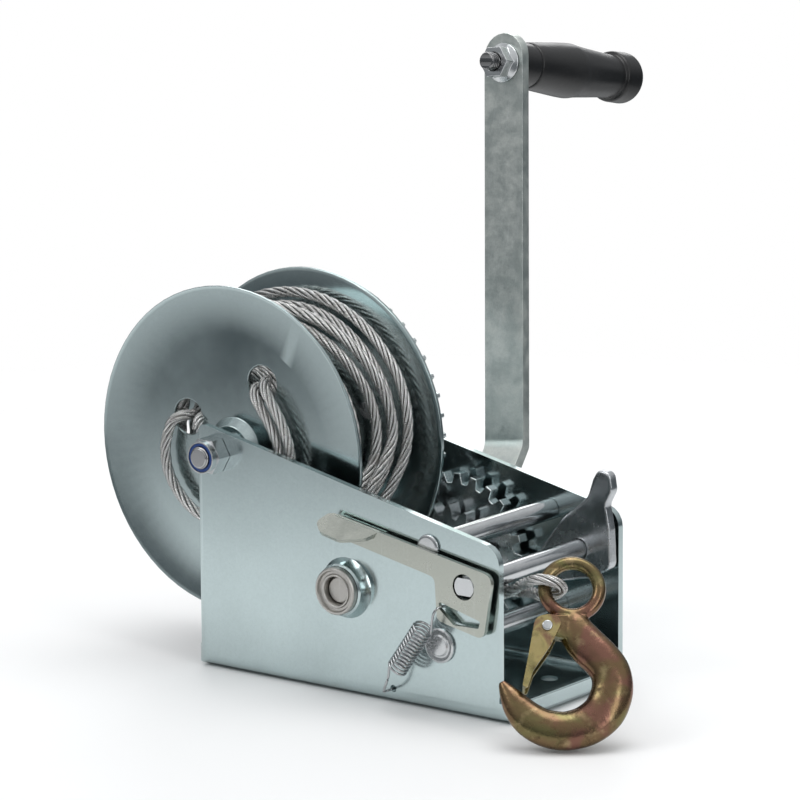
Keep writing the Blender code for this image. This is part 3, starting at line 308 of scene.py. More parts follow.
def wire_rope(name, colour):
    """Wires along each strand, as slanting grooves read from the strand's own map, with painted shade, a near-black
    colour, in the grooves between them and between the strands, where the map's second value is far from its ends;
    cloudy grime is mixed over it."""
    made, tree, shader = material(name, 1.0)
    map_node = put(tree, "ShaderNodeUVMap", {"uv_map": "strand"})
    wave = put(tree, "ShaderNodeTexWave", {"wave_type": "BANDS", "bands_direction": "X"}, Scale=0.31416,
               Distortion=0.3, Detail=1.0)
    tree.links.new(map_node.outputs["UV"], wave.inputs["Vector"])
    place = put(tree, "ShaderNodeTexCoord").outputs["Object"]
    grime = ramp(tree, noise(tree, place, 130.0, 4.0), 0.42, 0.7)
    split = put(tree, "ShaderNodeSeparateXYZ")
    tree.links.new(map_node.outputs["UV"], split.inputs[0])
    crown = maths(tree, "ABSOLUTE", maths(tree, "SUBTRACT", split.outputs["Y"], 0.5), 0.0)
    # Painted shade: near-black in the grooves between wires and on each strand's inner side, where the strands meet
    wires = maths(tree, "MULTIPLY", ramp(tree, wave.outputs["Fac"], 0.0, 0.6), ramp(tree, crown, 0.16, 0.32))
    gap_shaded = blend_colour(tree, wires, (0.03, 0.029, 0.028), (*colour, 1))
    tree.links.new(blend_colour(tree, maths(tree, "MULTIPLY", grime, 0.45), gap_shaded, (0.36, 0.345, 0.32)),
                   shader.inputs["Base Color"])
    tree.links.new(ramp(tree, grime, 0, 1, 0.17, 0.34), shader.inputs["Roughness"])
    bump = put(tree, "ShaderNodeBump", Strength=0.8, Distance=0.00018)
    tree.links.new(wave.outputs["Fac"], bump.inputs["Height"])
    tree.links.new(bump.outputs["Normal"], shader.inputs["Normal"])
    return made


def moulded_plastic(name, colour):
    """Black moulding with a fine sparkle grain, greyer where hands rub it."""
    made, tree, shader = material(name, 0.0)
    place = put(tree, "ShaderNodeTexCoord").outputs["Object"]
    rubbed = ramp(tree, noise(tree, stretch(tree, place, (60, 14, 60)), 1.0, 5.0), 0.45, 0.75)
    tone = blend_colour(tree, maths(tree, "MULTIPLY", rubbed, 0.5), (*colour, 1), (0.030, 0.030, 0.031))
    tree.links.new(tone, shader.inputs["Base Color"])
    tree.links.new(ramp(tree, rubbed, 0, 1, 0.3, 0.5), shader.inputs["Roughness"])
    bump = put(tree, "ShaderNodeBump", Strength=0.25, Distance=0.0003)
    tree.links.new(noise(tree, place, 520.0, 4.0, 0.6), bump.inputs["Height"])
    tree.links.new(bump.outputs["Normal"], shader.inputs["Normal"])
    return made


def threaded(name, colour, pitch, turn=0.0):
    """Bright steel with a screw thread's grooves across Y, darkened in the grooves as painted shade, turned about X
    to follow a leaning bolt.
    """
    made, tree, shader = material(name, 1.0, 0.26)
    place = put(tree, "ShaderNodeTexCoord").outputs["Object"]
    mapping = put(tree, "ShaderNodeMapping", Rotation=(turn, 0, 0))
    tree.links.new(place, mapping.inputs["Vector"])
    wave = put(tree, "ShaderNodeTexWave", {"wave_type": "BANDS", "bands_direction": "Y", "wave_profile": "TRI"},
               Scale=0.31416 / pitch)
    tree.links.new(mapping.outputs["Vector"], wave.inputs["Vector"])
    # Painted shade: the thread's grooves are blended towards dark grey
    tree.links.new(blend_colour(tree, wave.outputs["Fac"], (0.2, 0.2, 0.2), (*colour, 1)),
                   shader.inputs["Base Color"])
    bump = put(tree, "ShaderNodeBump", Strength=0.6, Distance=0.0004)
    tree.links.new(wave.outputs["Fac"], bump.inputs["Height"])
    tree.links.new(bump.outputs["Normal"], shader.inputs["Normal"])
    return made


def make_materials(colours):
    plated_group()
    rainbow_group()
    plate = tuple(colours.plate)
    plated("zinc_plate", plate, tuple(min(1, c * 1.28) for c in plate), Patch_scale=16.0, Patches=0.45, Rubbing=0.12,
           Smooth=0.12, Worn=0.26, Grain=0.03)
    # Painted shade: the flanges take the plate's colour darkened, a shaded copy of the same plating
    plated("flange_plate_painted_shade", tuple(c * 0.86 for c in plate), tuple(c * 1.1 for c in plate), Patch_scale=13.0,
           Patches=0.5, Rubbing=0.08, Smooth=0.13, Worn=0.27, Grain=0.02)
    plated("lever_plate", (0.43, 0.45, 0.405), (0.55, 0.565, 0.51), Patch_scale=40.0, Patches=0.5, Rubbing=0.2,
           Smooth=0.18, Worn=0.32, Grain=0.08)
    # Painted light: the gears' plating is made brighter than the plate's to make up for the dark surroundings they
    # reflect
    plated("gear_plate_painted_light", (0.62, 0.68, 0.69), (0.80, 0.83, 0.84), Patch_scale=60.0, Patches=0.6, Rubbing=0.4,
           Smooth=0.16, Worn=0.34, Grain=0.12)
    plated("crank_bar", tuple(colours.bar), (0.78, 0.81, 0.77), Patch_scale=120.0, Patches=0.75, Rubbing=0.3,
           Smooth=0.3, Worn=0.48, Grain=0.3)
    plated("bright_steel", tuple(colours.bright), (0.78, 0.78, 0.79), Patch_scale=50.0, Patches=0.4, Rubbing=0.3,
           Smooth=0.14, Worn=0.3, Grain=0.08)
    plated("cast_steel", (0.42, 0.44, 0.455), (0.60, 0.62, 0.64), Patch_scale=90.0, Patches=0.6, Rubbing=0.2,
           Smooth=0.2, Worn=0.34, Grain=0.35)
    plated("bush_metal", (0.46, 0.445, 0.42), (0.62, 0.61, 0.58), Patch_scale=90.0, Patches=0.6, Rubbing=0.3,
           Smooth=0.3, Worn=0.5, Grain=0.2)
    plated("pressed_sleeve", (0.66, 0.67, 0.68), (0.74, 0.74, 0.75), Patch_scale=90.0, Patches=0.5, Rubbing=0.3,
           Smooth=0.28, Worn=0.45, Grain=0.25)
    plated("spring_wire", (0.40, 0.41, 0.42), (0.56, 0.57, 0.58), Patch_scale=150.0, Patches=0.5, Rubbing=0.1,
           Smooth=0.12, Worn=0.3, Grain=0.05)
    yellow_zinc("yellow_zinc", tuple(colours.hook), 55.0)
    yellow_zinc("yellow_zinc_sheet", (0.40, 0.33, 0.15), 80.0)
    wire_rope("wire_rope", tuple(colours.rope))
    moulded_plastic("grip_plastic", tuple(colours.grip))
    threaded("bolt_thread", (0.7, 0.7, 0.71), 1.75 * MM)
    threaded("grip_thread", (0.3, 0.3, 0.305), 1.5 * MM, -0.18)
    nylon, tree, shader = material("blue_nylon", 0.0, 0.42)
    place = put(tree, "ShaderNodeTexCoord").outputs["Object"]
    tree.links.new(blend_colour(tree, noise(tree, place, 700.0), (0.008, 0.035, 0.17), (0.018, 0.07, 0.28)),
                   shader.inputs["Base Color"])


# ---------------------------------------------------------------- surfaces


def surface_object(name, points, faces, material_name, maps=None, map_name="strand"):
    """A smooth mesh at the origin from arrays of points and quads; maps holds one (u, v) for each face corner."""
    mesh = bpy.data.meshes.new(name)
    mesh.from_pydata(points, [], faces)
    if maps is not None:
        layer = mesh.uv_layers.new(name=map_name)
        layer.data.foreach_set("uv", np.asarray(maps, np.float32).ravel())
    mesh.shade_smooth()
    mesh.materials.append(finish(material_name))
    mesh.update()
    obj = bpy.data.objects.new(name, mesh)
    bpy.context.scene.collection.objects.link(obj)
    return obj


def grid_quads(rows, columns, start=0):
    """Quads of a tube of rows rings of columns points, wrapped round: corner (i, j) is start + i * columns + j."""
    i, j = np.meshgrid(np.arange(rows - 1), np.arange(columns), indexing="ij")
    nxt = (j + 1) % columns
    corners = [i * columns + j, i * columns + nxt, (i + 1) * columns + nxt, (i + 1) * columns + j]
    return start + np.stack(corners, axis=-1).reshape(-1, 4)


def spaced(points, step):
    """The same route at equal steps, by straight interpolation on its length."""
    points = np.asarray(points, float)
    along = np.concatenate([[0], np.cumsum(np.linalg.norm(np.diff(points, axis=0), axis=1))])
    at = np.linspace(0, along[-1], max(3, int(round(along[-1] / step)) + 1))
    return np.stack([np.interp(at, along, points[:, k]) for k in range(points.shape[1])], axis=1)


def curved(points, step):
    """A Catmull-Rom curve through the points: each span is the usual cubic of its four neighbours."""
    p = np.asarray(points, float)
    k = np.concatenate([[2 * p[0] - p[1]], p, [2 * p[-1] - p[-2]]])
    t = np.linspace(0, 1, 24, endpoint=False)[None, :, None]
    a, b, c, d = (k[i : len(k) - 3 + i, None, :] for i in range(4))
    fine = 0.5 * (2 * b + (c - a) * t + (2 * a - 5 * b + 4 * c - d) * t**2 + (3 * b - a - 3 * c + d) * t**3)
    return spaced(np.concatenate([fine.reshape(-1, p.shape[1]), p[-1:]]), step)


def frames_along(path, lean):
    """Unit tangent, and two unit normals of which the first keeps as near as it can to lean."""
    tangent = np.gradient(path, axis=0)
    tangent /= np.linalg.norm(tangent, axis=1)[:, None]
    first = lean - (lean * tangent).sum(1)[:, None] * tangent
    first /= np.linalg.norm(first, axis=1)[:, None]
    return tangent, first, np.cross(tangent, first)


def laid_rope(name, path, lean, diameter, lay, sides=8, strands=6):
    """Strands laid round a route. Strand k's centre turns about the route: r (cos a first + sin a second), where
    a = 2 pi (s / lay + k / strands) and r leaves the strands just touching. Each is a tube of radius d / 6 with
    closed ends, and its map counts wires: u = along / wire pitch + 5 around."""
    path, lean = np.asarray(path, float), np.broadcast_to(np.asarray(lean, float), np.shape(path))
    tangent, first, second = frames_along(path, lean)
    along = np.concatenate([[0], np.cumsum(np.linalg.norm(np.diff(path, axis=0), axis=1))])
    radius = diameter / 6 * 1.03
    offset = diameter / 2 - radius
    rows = len(path)
    around = 2 * math.pi * np.arange(sides) / sides
    points, faces, maps = [], [], []
    for k in range(strands):
        angle = 2 * math.pi * (along / lay + k / strands)
        out = np.cos(angle)[:, None] * first + np.sin(angle)[:, None] * second
        centre = path + offset * out
        heading, n1, n2 = frames_along(centre, out)
        tube = centre[:, None] + radius * (np.cos(around)[None, :, None] * n1[:, None]
                                           + np.sin(around)[None, :, None] * n2[:, None])
        start = len(points) * (rows * sides + 2)
        ends = np.stack([centre[0] - heading[0] * radius * 0.3, centre[-1] + heading[-1] * radius * 0.3])
        points.append(np.concatenate([tube.reshape(-1, 3), ends]))
        quads = grid_quads(rows, sides, start)
        low, high = start + rows * sides, start + rows * sides + 1
        j = np.arange(sides)
        last = start + (rows - 1) * sides
        caps = [np.stack([np.full(sides, low), start + (j + 1) % sides, start + j], axis=1),
                np.stack([np.full(sides, high), last + j, last + (j + 1) % sides], axis=1)]
        i, c = np.meshgrid(np.arange(rows - 1), j, indexing="ij")
        across = [c, c + 1, c + 1, c]
        down = [i, i, i + 1, i + 1]
        u = [along[d] / WIRE_PITCH + 5.0 * a / sides for a, d in zip(across, down)]
        v = [a / sides for a in across]
        maps.append(np.stack([np.stack(u, -1), np.stack(v, -1)], -1).reshape(-1, 2))
        maps.append(np.zeros((sides * 6, 2)))
        faces.append((quads, caps))
    flat = [face.tolist() for quads, caps in faces for block in (quads, *caps) for face in block]
    return surface_object(name, np.concatenate(points), flat, "wire_rope", np.concatenate(maps))


def wire_tube(name, path, radius, lean, material_name, sides=10):
    """A plain round wire along a route: rings of radius r in the plane of the two normals, closed by end points."""
    path = np.asarray(path, float)
    heading, n1, n2 = frames_along(path, np.broadcast_to(np.asarray(lean, float), path.shape))
    around = 2 * math.pi * np.arange(sides) / sides
    tube = path[:, None] + radius * (np.cos(around)[None, :, None] * n1[:, None]
                                     + np.sin(around)[None, :, None] * n2[:, None])
    ends = np.stack([path[0] - heading[0] * radius * 0.5, path[-1] + heading[-1] * radius * 0.5])
    rows, j = len(path), np.arange(sides)
    last = (rows - 1) * sides
    low, high = rows * sides, rows * sides + 1
    faces = grid_quads(rows, sides).tolist()
    faces += np.stack([np.full(sides, low), (j + 1) % sides, j], axis=1).tolist()
    faces += np.stack([np.full(sides, high), last + j, last + (j + 1) % sides], axis=1).tolist()
    return surface_object(name, np.concatenate([tube.reshape(-1, 3), ends]), faces, material_name)


def turned_about(name, profile, origin, axis, across, sides, material_name, ripple=None):
    """A closed outline (radius, along) turned about an axis: origin + along axis
    + radius (cos a across + sin a up)."""
    profile = np.asarray(profile, float)
    axis, across = (np.asarray(v, float) / np.linalg.norm(v) for v in (axis, across))
    across = across - axis * across.dot(axis)
    across /= np.linalg.norm(across)
    up = np.cross(axis, across)
    a = 2 * math.pi * np.arange(sides) / sides
    radius = profile[:, :1] * np.ones((1, sides))
    if ripple is not None:
        radius = radius + ripple(profile[:, 1:2], a[None, :])
    points = (np.asarray(origin)[None, None] + profile[:, 1][:, None, None] * axis
              + radius[..., None] * (np.cos(a)[None, :, None] * across + np.sin(a)[None, :, None] * up))
    looped = np.concatenate([points, points[:1]])
    rows = len(looped)
    faces = grid_quads(rows, sides) % (len(points) * sides)
    return surface_object(name, points.reshape(-1, 3), faces.tolist(), material_name)


def face_outwards(obj):
    shape = bmesh.new()
    shape.from_mesh(obj.data)
    bmesh.ops.remove_doubles(shape, verts=shape.verts, dist=1e-6)
    bmesh.ops.recalc_face_normals(shape, faces=shape.faces)
    shape.to_mesh(obj.data)
    shape.free()
    return obj


def carried(obj, body, slot, *nodes):
    """The piece rides on a body and stands for solids, if any are named, which it hides; its slot is not used."""
    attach(obj, body)
    for node in nodes:
        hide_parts(node)
    return obj


def finished(node, material_name, rounding=None, segments=2, angle=32.0):
    """A copy of a solid with its flat faces joined, its edges rounded and its curves shaded smooth."""
    source = frame["nodes"][node].data
    shape = bmesh.new()
    shape.from_mesh(source)
    bmesh.ops.remove_doubles(shape, verts=shape.verts, dist=2e-6)
    bmesh.ops.dissolve_limit(shape, angle_limit=math.radians(0.6), verts=shape.verts, edges=shape.edges)
    mesh = bpy.data.meshes.new(node + "_finish")
    shape.to_mesh(mesh)
    shape.free()
    mesh.shade_smooth()
    mesh.materials.append(finish(material_name))
    obj = bpy.data.objects.new(node + "_finish", mesh)
    bpy.context.scene.collection.objects.link(obj)
    width = bpy.context.scene.winch_sizes.edge_round if rounding is None else rounding
    if width:
        bevel = obj.modifiers.new("Rounded edges", "BEVEL")
        bevel.width = width
        bevel.segments = segments
        bevel.limit_method = "ANGLE"
        bevel.angle_limit = math.radians(angle)
        bevel.miter_outer = "MITER_ARC"
        weigh = obj.modifiers.new("Flat faces stay flat", "WEIGHTED_NORMAL")
        weigh.weight = 100
        weigh.keep_sharp = True
    else:
        mesh.set_sharp_from_angle(angle=math.radians(angle))
    return carried(obj, BODY_OF[node], SLOT_OF[node], node)


def forged(node, material_name, voxel, rounds, shell=None):
    """A forging or casting: the solid, or a shell of points and faces standing for it, on a fine grid and relaxed."""
    mesh = bpy.data.meshes.new(node + "_finish")
    if shell is None:
        shape = bmesh.new()
        shape.from_mesh(frame["nodes"][node].data)
        bmesh.ops.remove_doubles(shape, verts=shape.verts, dist=2e-6)
        shape.to_mesh(mesh)
        shape.free()
    else:
        mesh.from_pydata(shell[0], [], shell[1])
    obj = bpy.data.objects.new(node + "_finish", mesh)
    bpy.context.scene.collection.objects.link(obj)
    remesh = obj.modifiers.new("Fine grid", "REMESH")
    remesh.mode = "VOXEL"
    remesh.voxel_size = voxel
    remesh.use_smooth_shade = True
    relax = obj.modifiers.new("Relax", "SMOOTH")
    relax.factor = 0.5
    relax.iterations = rounds
    bpy.context.view_layer.update()
    made = bpy.data.meshes.new_from_object(obj.evaluated_get(bpy.context.evaluated_depsgraph_get()))
    obj.modifiers.clear()
    obj.data = made
    made.materials.clear()
    made.materials.append(finish(material_name))
    made.shade_smooth()
    return carried(obj, BODY_OF[node], SLOT_OF[node], node)


def closed_rings(rings):
    """Faces of one tube through rings (i, j), wrapped round j and shut by a many-sided face at each end."""
    rows, sides = rings.shape[:2]
    faces = grid_quads(rows, sides).tolist()
    return faces + [list(range(sides))[::-1], list(range((rows - 1) * sides, rows * sides))]


def joined(shells):
    """One list of points and one of faces from several shells."""
    points, faces, start = [], [], 0
    for part_points, part_faces in shells:
        points.append(part_points)
        faces += [[start + index for index in face] for face in part_faces]
        start += len(part_points)
    return np.concatenate(points), faces


def hook_shell():
    """The hook about its eye's centre, with x across, y through it and z up, then turned and moved to its place.
    Bar: station + cos(a) width/2 across the bar's heading + sin(a) thickness/2 through it, on a Catmull-Rom curve of
    the stations. Eye: a ring of radius 13.9 mm and wire radius 3.5 mm. Lug: a short round bar through the latch's
    pivot. Bridge: four corners drawn out 4.4 mm to each side."""
    a = 2 * math.pi * np.arange(48) / 48
    bar = curved(HOOK_BAR, 0.8)
    heading = np.gradient(bar[:, :2] * (1, -1), axis=0)
    heading /= np.linalg.norm(heading, axis=1)[:, None]
    side = np.stack([-heading[:, 1], heading[:, 0]], axis=1)
    flat = (bar[:, :2] * (1, -1))[:, None] + (bar[:, 2:3] / 2 * np.cos(a))[..., None] * side[:, None]
    rings = np.stack([flat[..., 0], bar[:, 3:4] / 2 * np.sin(a), flat[..., 1]], axis=-1)
    b = 2 * math.pi * np.arange(96)[:, None] / 96
    reach = 13.9 + 3.5 * np.cos(a)[None]
    eye = np.stack([reach * np.cos(b), 3.5 * np.sin(a)[None] + 0 * b, reach * np.sin(b)], axis=-1)
    lug = np.stack([np.stack([LATCH_PIVOT[0] + 4.8 * np.cos(a), 0 * a + y, LATCH_PIVOT[1] + 4.8 * np.sin(a)], axis=-1)
                    for y in (-4.6, 4.6)])
    corners = np.array([(-13, -15.5), (-2, -15), (3, -28), (-12, -26.4)])
    bridge = np.stack([np.stack([corners[:, 0], 0 * corners[:, 0] + y, corners[:, 1]], axis=-1) for y in (-4.4, 4.4)])
    shells = [(rings.reshape(-1, 3), closed_rings(rings))]
    shells.append((eye.reshape(-1, 3), (grid_quads(97, 48) % (96 * 48)).tolist()))
    shells += [(part.reshape(-1, 3), closed_rings(part)) for part in (lug, bridge)]
    points, faces = joined(shells)
    up = -Vector(HOOK_DOWN).normalized()
    across = Vector(HOOK_ACROSS)
    across = (across - up * across.dot(up)).normalized()
    turn = np.array([across, up.cross(across), up])
    return (points @ turn + np.asarray(HOOK_EYE)) * MM, faces


# ---------------------------------------------------------------- the free rope's route and the drum's turns

FREE_ROPE = (
    (-80, -9, 36.2), (-60, -10, 38.2), (-35, -12, 41.2), (-10, -14, 44.6), (10, -16, 47.6), (30, -18.4, 51.2),
    (48, -20.4, 54.8), (62, -22, 57.2), (74, -23.4, 59.4), (82, -25, 61), (89, -27.8, 64.2), (95.4, -31.2, 68),
    (103.2, -37.4, 71.7), (110.6, -44.8, 74.6), (116, -50.1, 77.3), (120.9, -53.3, 79.4), (126.7, -52.5, 79.9),
    (130.9, -48, 77.8), (130.6, -43.6, 74.1), (125.6, -41.9, 70.3), (119.9, -43.4, 68.5), (112.6, -39.4, 67.1),
    (103.6, -31.4, 65.3), (95, -24, 63), (86, -18.8, 61), (76, -16.9, 59.2), (66, -15.7, 57.6), (56, -14.4, 55.8),
)
# The hook, about its eye's centre: across, down, width and thickness of its bar, in millimetres
HOOK_EYE = (134.25, -40.14, 73.54)
HOOK_DOWN = (23, -39, -71)
HOOK_ACROSS = (0.794, 0.607, 0)
LATCH_PIVOT = (-11.7, -22.1)
HOOK_BAR = (
    (0.3, 13.5, 12.5, 7), (1.5, 18, 16, 10), (4.5, 24, 19, 12), (9.5, 30, 20.5, 13), (16, 36, 20.5, 14),
    (21, 42.5, 20.5, 15), (22.7, 50, 21, 15), (21.8, 57, 21.5, 15), (18.4, 64.8, 21.5, 15), (10.7, 71.6, 21, 15),
    (1.7, 74.9, 20.2, 15), (-5.2, 75.1, 19.9, 14.5), (-12.5, 73.4, 19, 13.5), (-19.3, 69.4, 17.8, 12),
    (-24.7, 63.9, 15, 10.5), (-28.6, 58.6, 11, 8.5), (-31.8, 53.8, 6.4, 6), (-33.2, 51.4, 3.6, 4.5),
)
ANCHOR = (
    (-31.6, -34.4, 14.2), (-32, -39, 14.5), (-34.6, -43.6, 14.2), (-38.5, -45.8, 11), (-42, -45.8, 3),
    (-43.5, -45.8, -7), (-40.5, -45.8, -19), (-31, -45.8, -31), (-17, -45.8, -39), (0, -45.8, -42),
    (17, -45.8, -39), (33, -45.8, -28), (42, -45.8, -12), (43, -45.8, 4), (38, -45.8, 18),
    (30.5, -45.6, 29.5), (24.6, -43.4, 35.6), (20.8, -39, 38.4), (19.6, -34.4, 39.2),
)
# The slack turns, counted back from the free rope: turns made, place across the drum, distance from its axis
SLACK = (
    (0.0, -9, 79), (0.22, 4, 78), (0.42, 14.5, 77.2), (0.62, 17, 77), (0.69, 17, 77), (0.75, 12, 76.5),
    (0.79, 3, 76), (0.84, -6, 75.5), (1.0, -13, 75), (1.25, -15, 74.5), (1.45, -14, 74.5), (1.54, -8, 74.2),
    (1.61, 0, 74), (1.69, 6, 73.5), (1.735, 5, 73), (1.77, -5, 72.6), (1.82, -16, 72.5), (2.0, -26, 72.5),
    (2.25, -30, 72), (2.5, -30.5, 71.5), (2.63, -25, 71), (2.71, -23, 70.6), (2.8, -26, 70.5), (3.0, -19, 69.5),
    (3.25, -3, 67.5), (3.45, 10, 70.2), (3.62, 11.5, 70.4), (3.7, 10.5, 70.3), (3.76, 5, 70), (3.84, -9, 69.4),
    (4.0, -12.5, 68.6), (4.25, -19, 67.5), (4.45, -18, 68), (4.6, -6, 68), (4.69, 0, 67.5), (4.76, -4, 67),
    (4.82, -18, 67), (5.0, -28, 66), (5.25, -33.5, 65.5), (5.5, -34, 65), (5.75, -33, 62), (6.0, -31, 55),
    (6.3, -30, 46),
)


def drum_route(turns, across, away):
    """Points on the drum: angle = -90 - 360 turns degrees about the axis, away from it, and across along Y."""
    angle = np.radians(-90.0 - 360.0 * np.asarray(turns))
    x = DRUM_AXIS[0] + away * np.cos(angle)
    z = DRUM_AXIS[2] + away * np.sin(angle)
    return np.stack([x, across, z], axis=1)


def slack_route(step):
    knots = np.asarray(SLACK, float)
    smooth = curved(knots * (60.0, 1.0, 1.0), 0.4)
    turns, across, away = smooth[:, 0] / 60.0, smooth[:, 1] * MM, smooth[:, 2] * MM
    return spaced(drum_route(turns, across, away), step)


def from_drum_axis(path):
    """Unit vectors straight out from the drum's axis."""
    out = path - np.array(DRUM_AXIS)
    out[:, 1] = 0
    return out / np.linalg.norm(out, axis=1)[:, None]


# ---------------------------------------------------------------- operators


class WINCH_OT_stage(bpy.types.Operator):
    """Pale floor, soft lights and the camera"""

    bl_idname = "winch.stage"
    bl_label = "Stage"

    def execute(self, context):
        scene = context.scene
        yaw, pitch, roll = 0.6525803, 0.1753564, -0.0073797
        ahead = Vector((-math.sin(yaw) * math.cos(pitch), math.cos(yaw) * math.cos(pitch), -math.sin(pitch)))
        right = Vector((math.cos(yaw), math.sin(yaw), 0))
        up = right.cross(ahead)
        right, up = (math.cos(roll) * right + math.sin(roll) * up, -math.sin(roll) * right + math.cos(roll) * up)
        ahead = (4384.61 * ahead + 9.763 * right - 121.682 * up).normalized()
        right = (right - ahead * right.dot(ahead)).normalized()
        up = right.cross(ahead)
        data = bpy.data.cameras.new("camera")
        data.sensor_width = 36
        data.lens = 197.307
        data.clip_end = 50
        camera = bpy.data.objects.new("camera", data)
        scene.collection.objects.link(camera)
        camera.matrix_world = Matrix.Translation((1.37794, -1.81785, 0.61908)) @ Matrix(
            (right, up, -ahead)).transposed().to_4x4()
        scene.camera = camera
        self.lights(scene)
        self.floor(scene)
        self.world(scene)
        scene.view_settings.view_transform = "Standard"
        return {"FINISHED"}

    def lights(self, scene):
        """Soft boxes: a large one high on the left, a strip on the right, one from behind."""
        middle = Vector((0.0, 0.0, 0.12))
        for name, place, size, power in (
            ("key", (-0.9, -1.3, 1.7), (1.0, 0.7), 7),
            ("side", (1.7, -0.5, 0.7), (0.4, 1.3), 5),
            ("top", (0.1, 0.3, 1.9), (1.2, 1.2), 13),
            ("back", (-1.0, 1.4, 0.9), (1.0, 0.8), 5),
        ):
            data = bpy.data.lights.new(name, "AREA")
            data.shape = "RECTANGLE"
            data.size, data.size_y = size
            data.energy = power
            light = bpy.data.objects.new(name, data)
            light.location = place
            light.rotation_euler = (middle - Vector(place)).to_track_quat("-Z", "Y").to_euler()
            scene.collection.objects.link(light)

    def floor(self, scene):
        """A round pale floor, fading into the backdrop with distance from its middle: a disc of rings at z = 0."""
        a = 2 * math.pi * np.arange(64) / 64
        rings = np.array([0.3, 0.6, 0.9, 1.25])[:, None, None]
        points = rings * np.stack([np.cos(a), np.sin(a), 0 * a], axis=-1)[None]
        points = np.concatenate([points.reshape(-1, 3), [[0, 0, 0]]]) - (0, 0, 0.0004)
        faces = grid_quads(4, 64)[:, ::-1].tolist()
        faces += [[4 * 64, j, (j + 1) % 64] for j in range(64)]
        made, tree, shader = material("floor", 0.0, 0.6)
        place = put(tree, "ShaderNodeTexCoord").outputs["Object"]
        tree.links.new(blend_colour(tree, noise(tree, place, 3.0), (0.86, 0.86, 0.86), (0.9, 0.9, 0.9)),
                       shader.inputs["Base Color"])
        reach = put(tree, "ShaderNodeVectorMath", {"operation": "LENGTH"})
        tree.links.new(place, reach.inputs[0])
        tree.links.new(ramp(tree, reach.outputs["Value"], 0.34, 0.9, 1.0, 0.0), shader.inputs["Alpha"])
        surface_object("floor", points, faces, "floor")

    def world(self, scene):
        """Soft surroundings: bright above, darker round the sides so that polished metal has something to show."""
        world = bpy.data.worlds.new("surroundings")
        world.use_nodes = True
        scene.world = world
        tree = world.node_tree
        background = tree.nodes["Background"]
        place = put(tree, "ShaderNodeTexCoord").outputs["Generated"]
        split = put(tree, "ShaderNodeSeparateXYZ")
        tree.links.new(place, split.inputs[0])
        height = ramp(tree, split.outputs["Z"], 0.02, 0.6)
        patches = ramp(tree, noise(tree, place, 1.7, 2.0), 0.35, 0.65)
        sky = blend_colour(tree, height, (0.13, 0.145, 0.155), (0.92, 0.93, 0.94))
        shade = blend_colour(tree, maths(tree, "MULTIPLY", patches, 0.4), sky, (0.13, 0.145, 0.16))
        rays = put(tree, "ShaderNodeLightPath")
        seen = blend_colour(tree, rays.outputs["Is Camera Ray"], shade, (1.0, 1.0, 1.0))
        tree.links.new(seen, background.inputs["Color"])
        background.inputs["Strength"].default_value = 1.0


class WINCH_OT_free_rope(bpy.types.Operator):
    """Free wire rope from the drum to the hook's eye and back"""

    bl_idname = "winch.free_rope"
    bl_label = "Free rope"

    def execute(self, context):
        sizes = context.scene.winch_sizes
        route = curved(np.asarray(FREE_ROPE) * MM, 2.0 * MM)
        lean = (-0.27, 0.46, 0.84)
        rope = laid_rope("free_rope", route, lean, sizes.rope_diameter, sizes.rope_lay, sides=10)
        carried(rope, "root", "wire_rope", "rope_tail")
        return {"FINISHED"}


class WINCH_OT_wound_rope(bpy.types.Operator):
    """Slack turns on the drum, with the neat inner layers under them"""

    bl_idname = "winch.wound_rope"
    bl_label = "Wound rope"

    def execute(self, context):
        sizes = context.scene.winch_sizes
        route = slack_route(2.2 * MM)
        slack = laid_rope("slack_turns", route, from_drum_axis(route), sizes.rope_diameter, sizes.rope_lay, sides=7)
        carried(slack, "drum", "wire_rope", "rope_winding")
        # Two neat layers: across the drum at one rope's width for each turn, then back one rope further out
        t = np.linspace(0, 15.8, 1400)
        layer = np.clip((t - 7.9) / 0.25, 0, 1)
        across = np.where(t < 7.9, -29.6 + 6.15 * t, 19.0 - 6.15 * (t - 7.9)) * MM
        away = (33.5 + 5.6 * layer) * MM
        route = spaced(drum_route(t, across, away), 3.2 * MM)
        inner = laid_rope("inner_turns", route, from_drum_axis(route), sizes.rope_diameter, sizes.rope_lay, sides=6)
        carried(inner, "drum", "wire_rope", "rope_inner")
        return {"FINISHED"}


class WINCH_OT_rope_end(bpy.types.Operator):
    """The rope's end laced through the near flange"""

    bl_idname = "winch.rope_end"
    bl_label = "Rope end"

    def execute(self, context):
        sizes = context.scene.winch_sizes
        centre = np.array([DRUM_AXIS[0], 0, DRUM_AXIS[2]])
        route = curved(np.asarray(ANCHOR) * MM, 2.0 * MM) + centre
        rope = laid_rope("rope_end", route, from_drum_axis(route), sizes.rope_diameter, sizes.rope_lay, sides=10)
        carried(rope, "drum", "wire_rope", "rope_anchor")
        second = ((12.6, -34.4, 34.6), (14.2, -39, 34.2), (18, -43.8, 31.4), (24.4, -45.9, 24.6), (31.4, -45.9, 14.6),
                  (36, -45.9, 2.6), (34.8, -45.9, -12), (26.6, -45.9, -24.4), (14, -45.9, -32.2), (0, -45.9, -35.2),
                  (-13, -45.9, -32.4))
        route = curved(np.asarray(second) * MM, 2.0 * MM) + centre
        rope = laid_rope("rope_end_return", route, from_drum_axis(route), sizes.rope_diameter, sizes.rope_lay,
                         sides=10)
        carried(rope, "drum", "wire_rope")
        stub = ((-24.6, -34.4, 14), (-24.4, -37.6, 13.9), (-24.2, -40, 12.9), (-24, -41.4, 10.6), (-23.9, -41.8, 8.2))
        route = curved(np.asarray(stub) * MM, 1.6 * MM) + centre
        rope = laid_rope("rope_end_tip", route, from_drum_axis(route), sizes.rope_diameter, sizes.rope_lay, sides=10)
        carried(rope, "drum", "wire_rope")
        return {"FINISHED"}


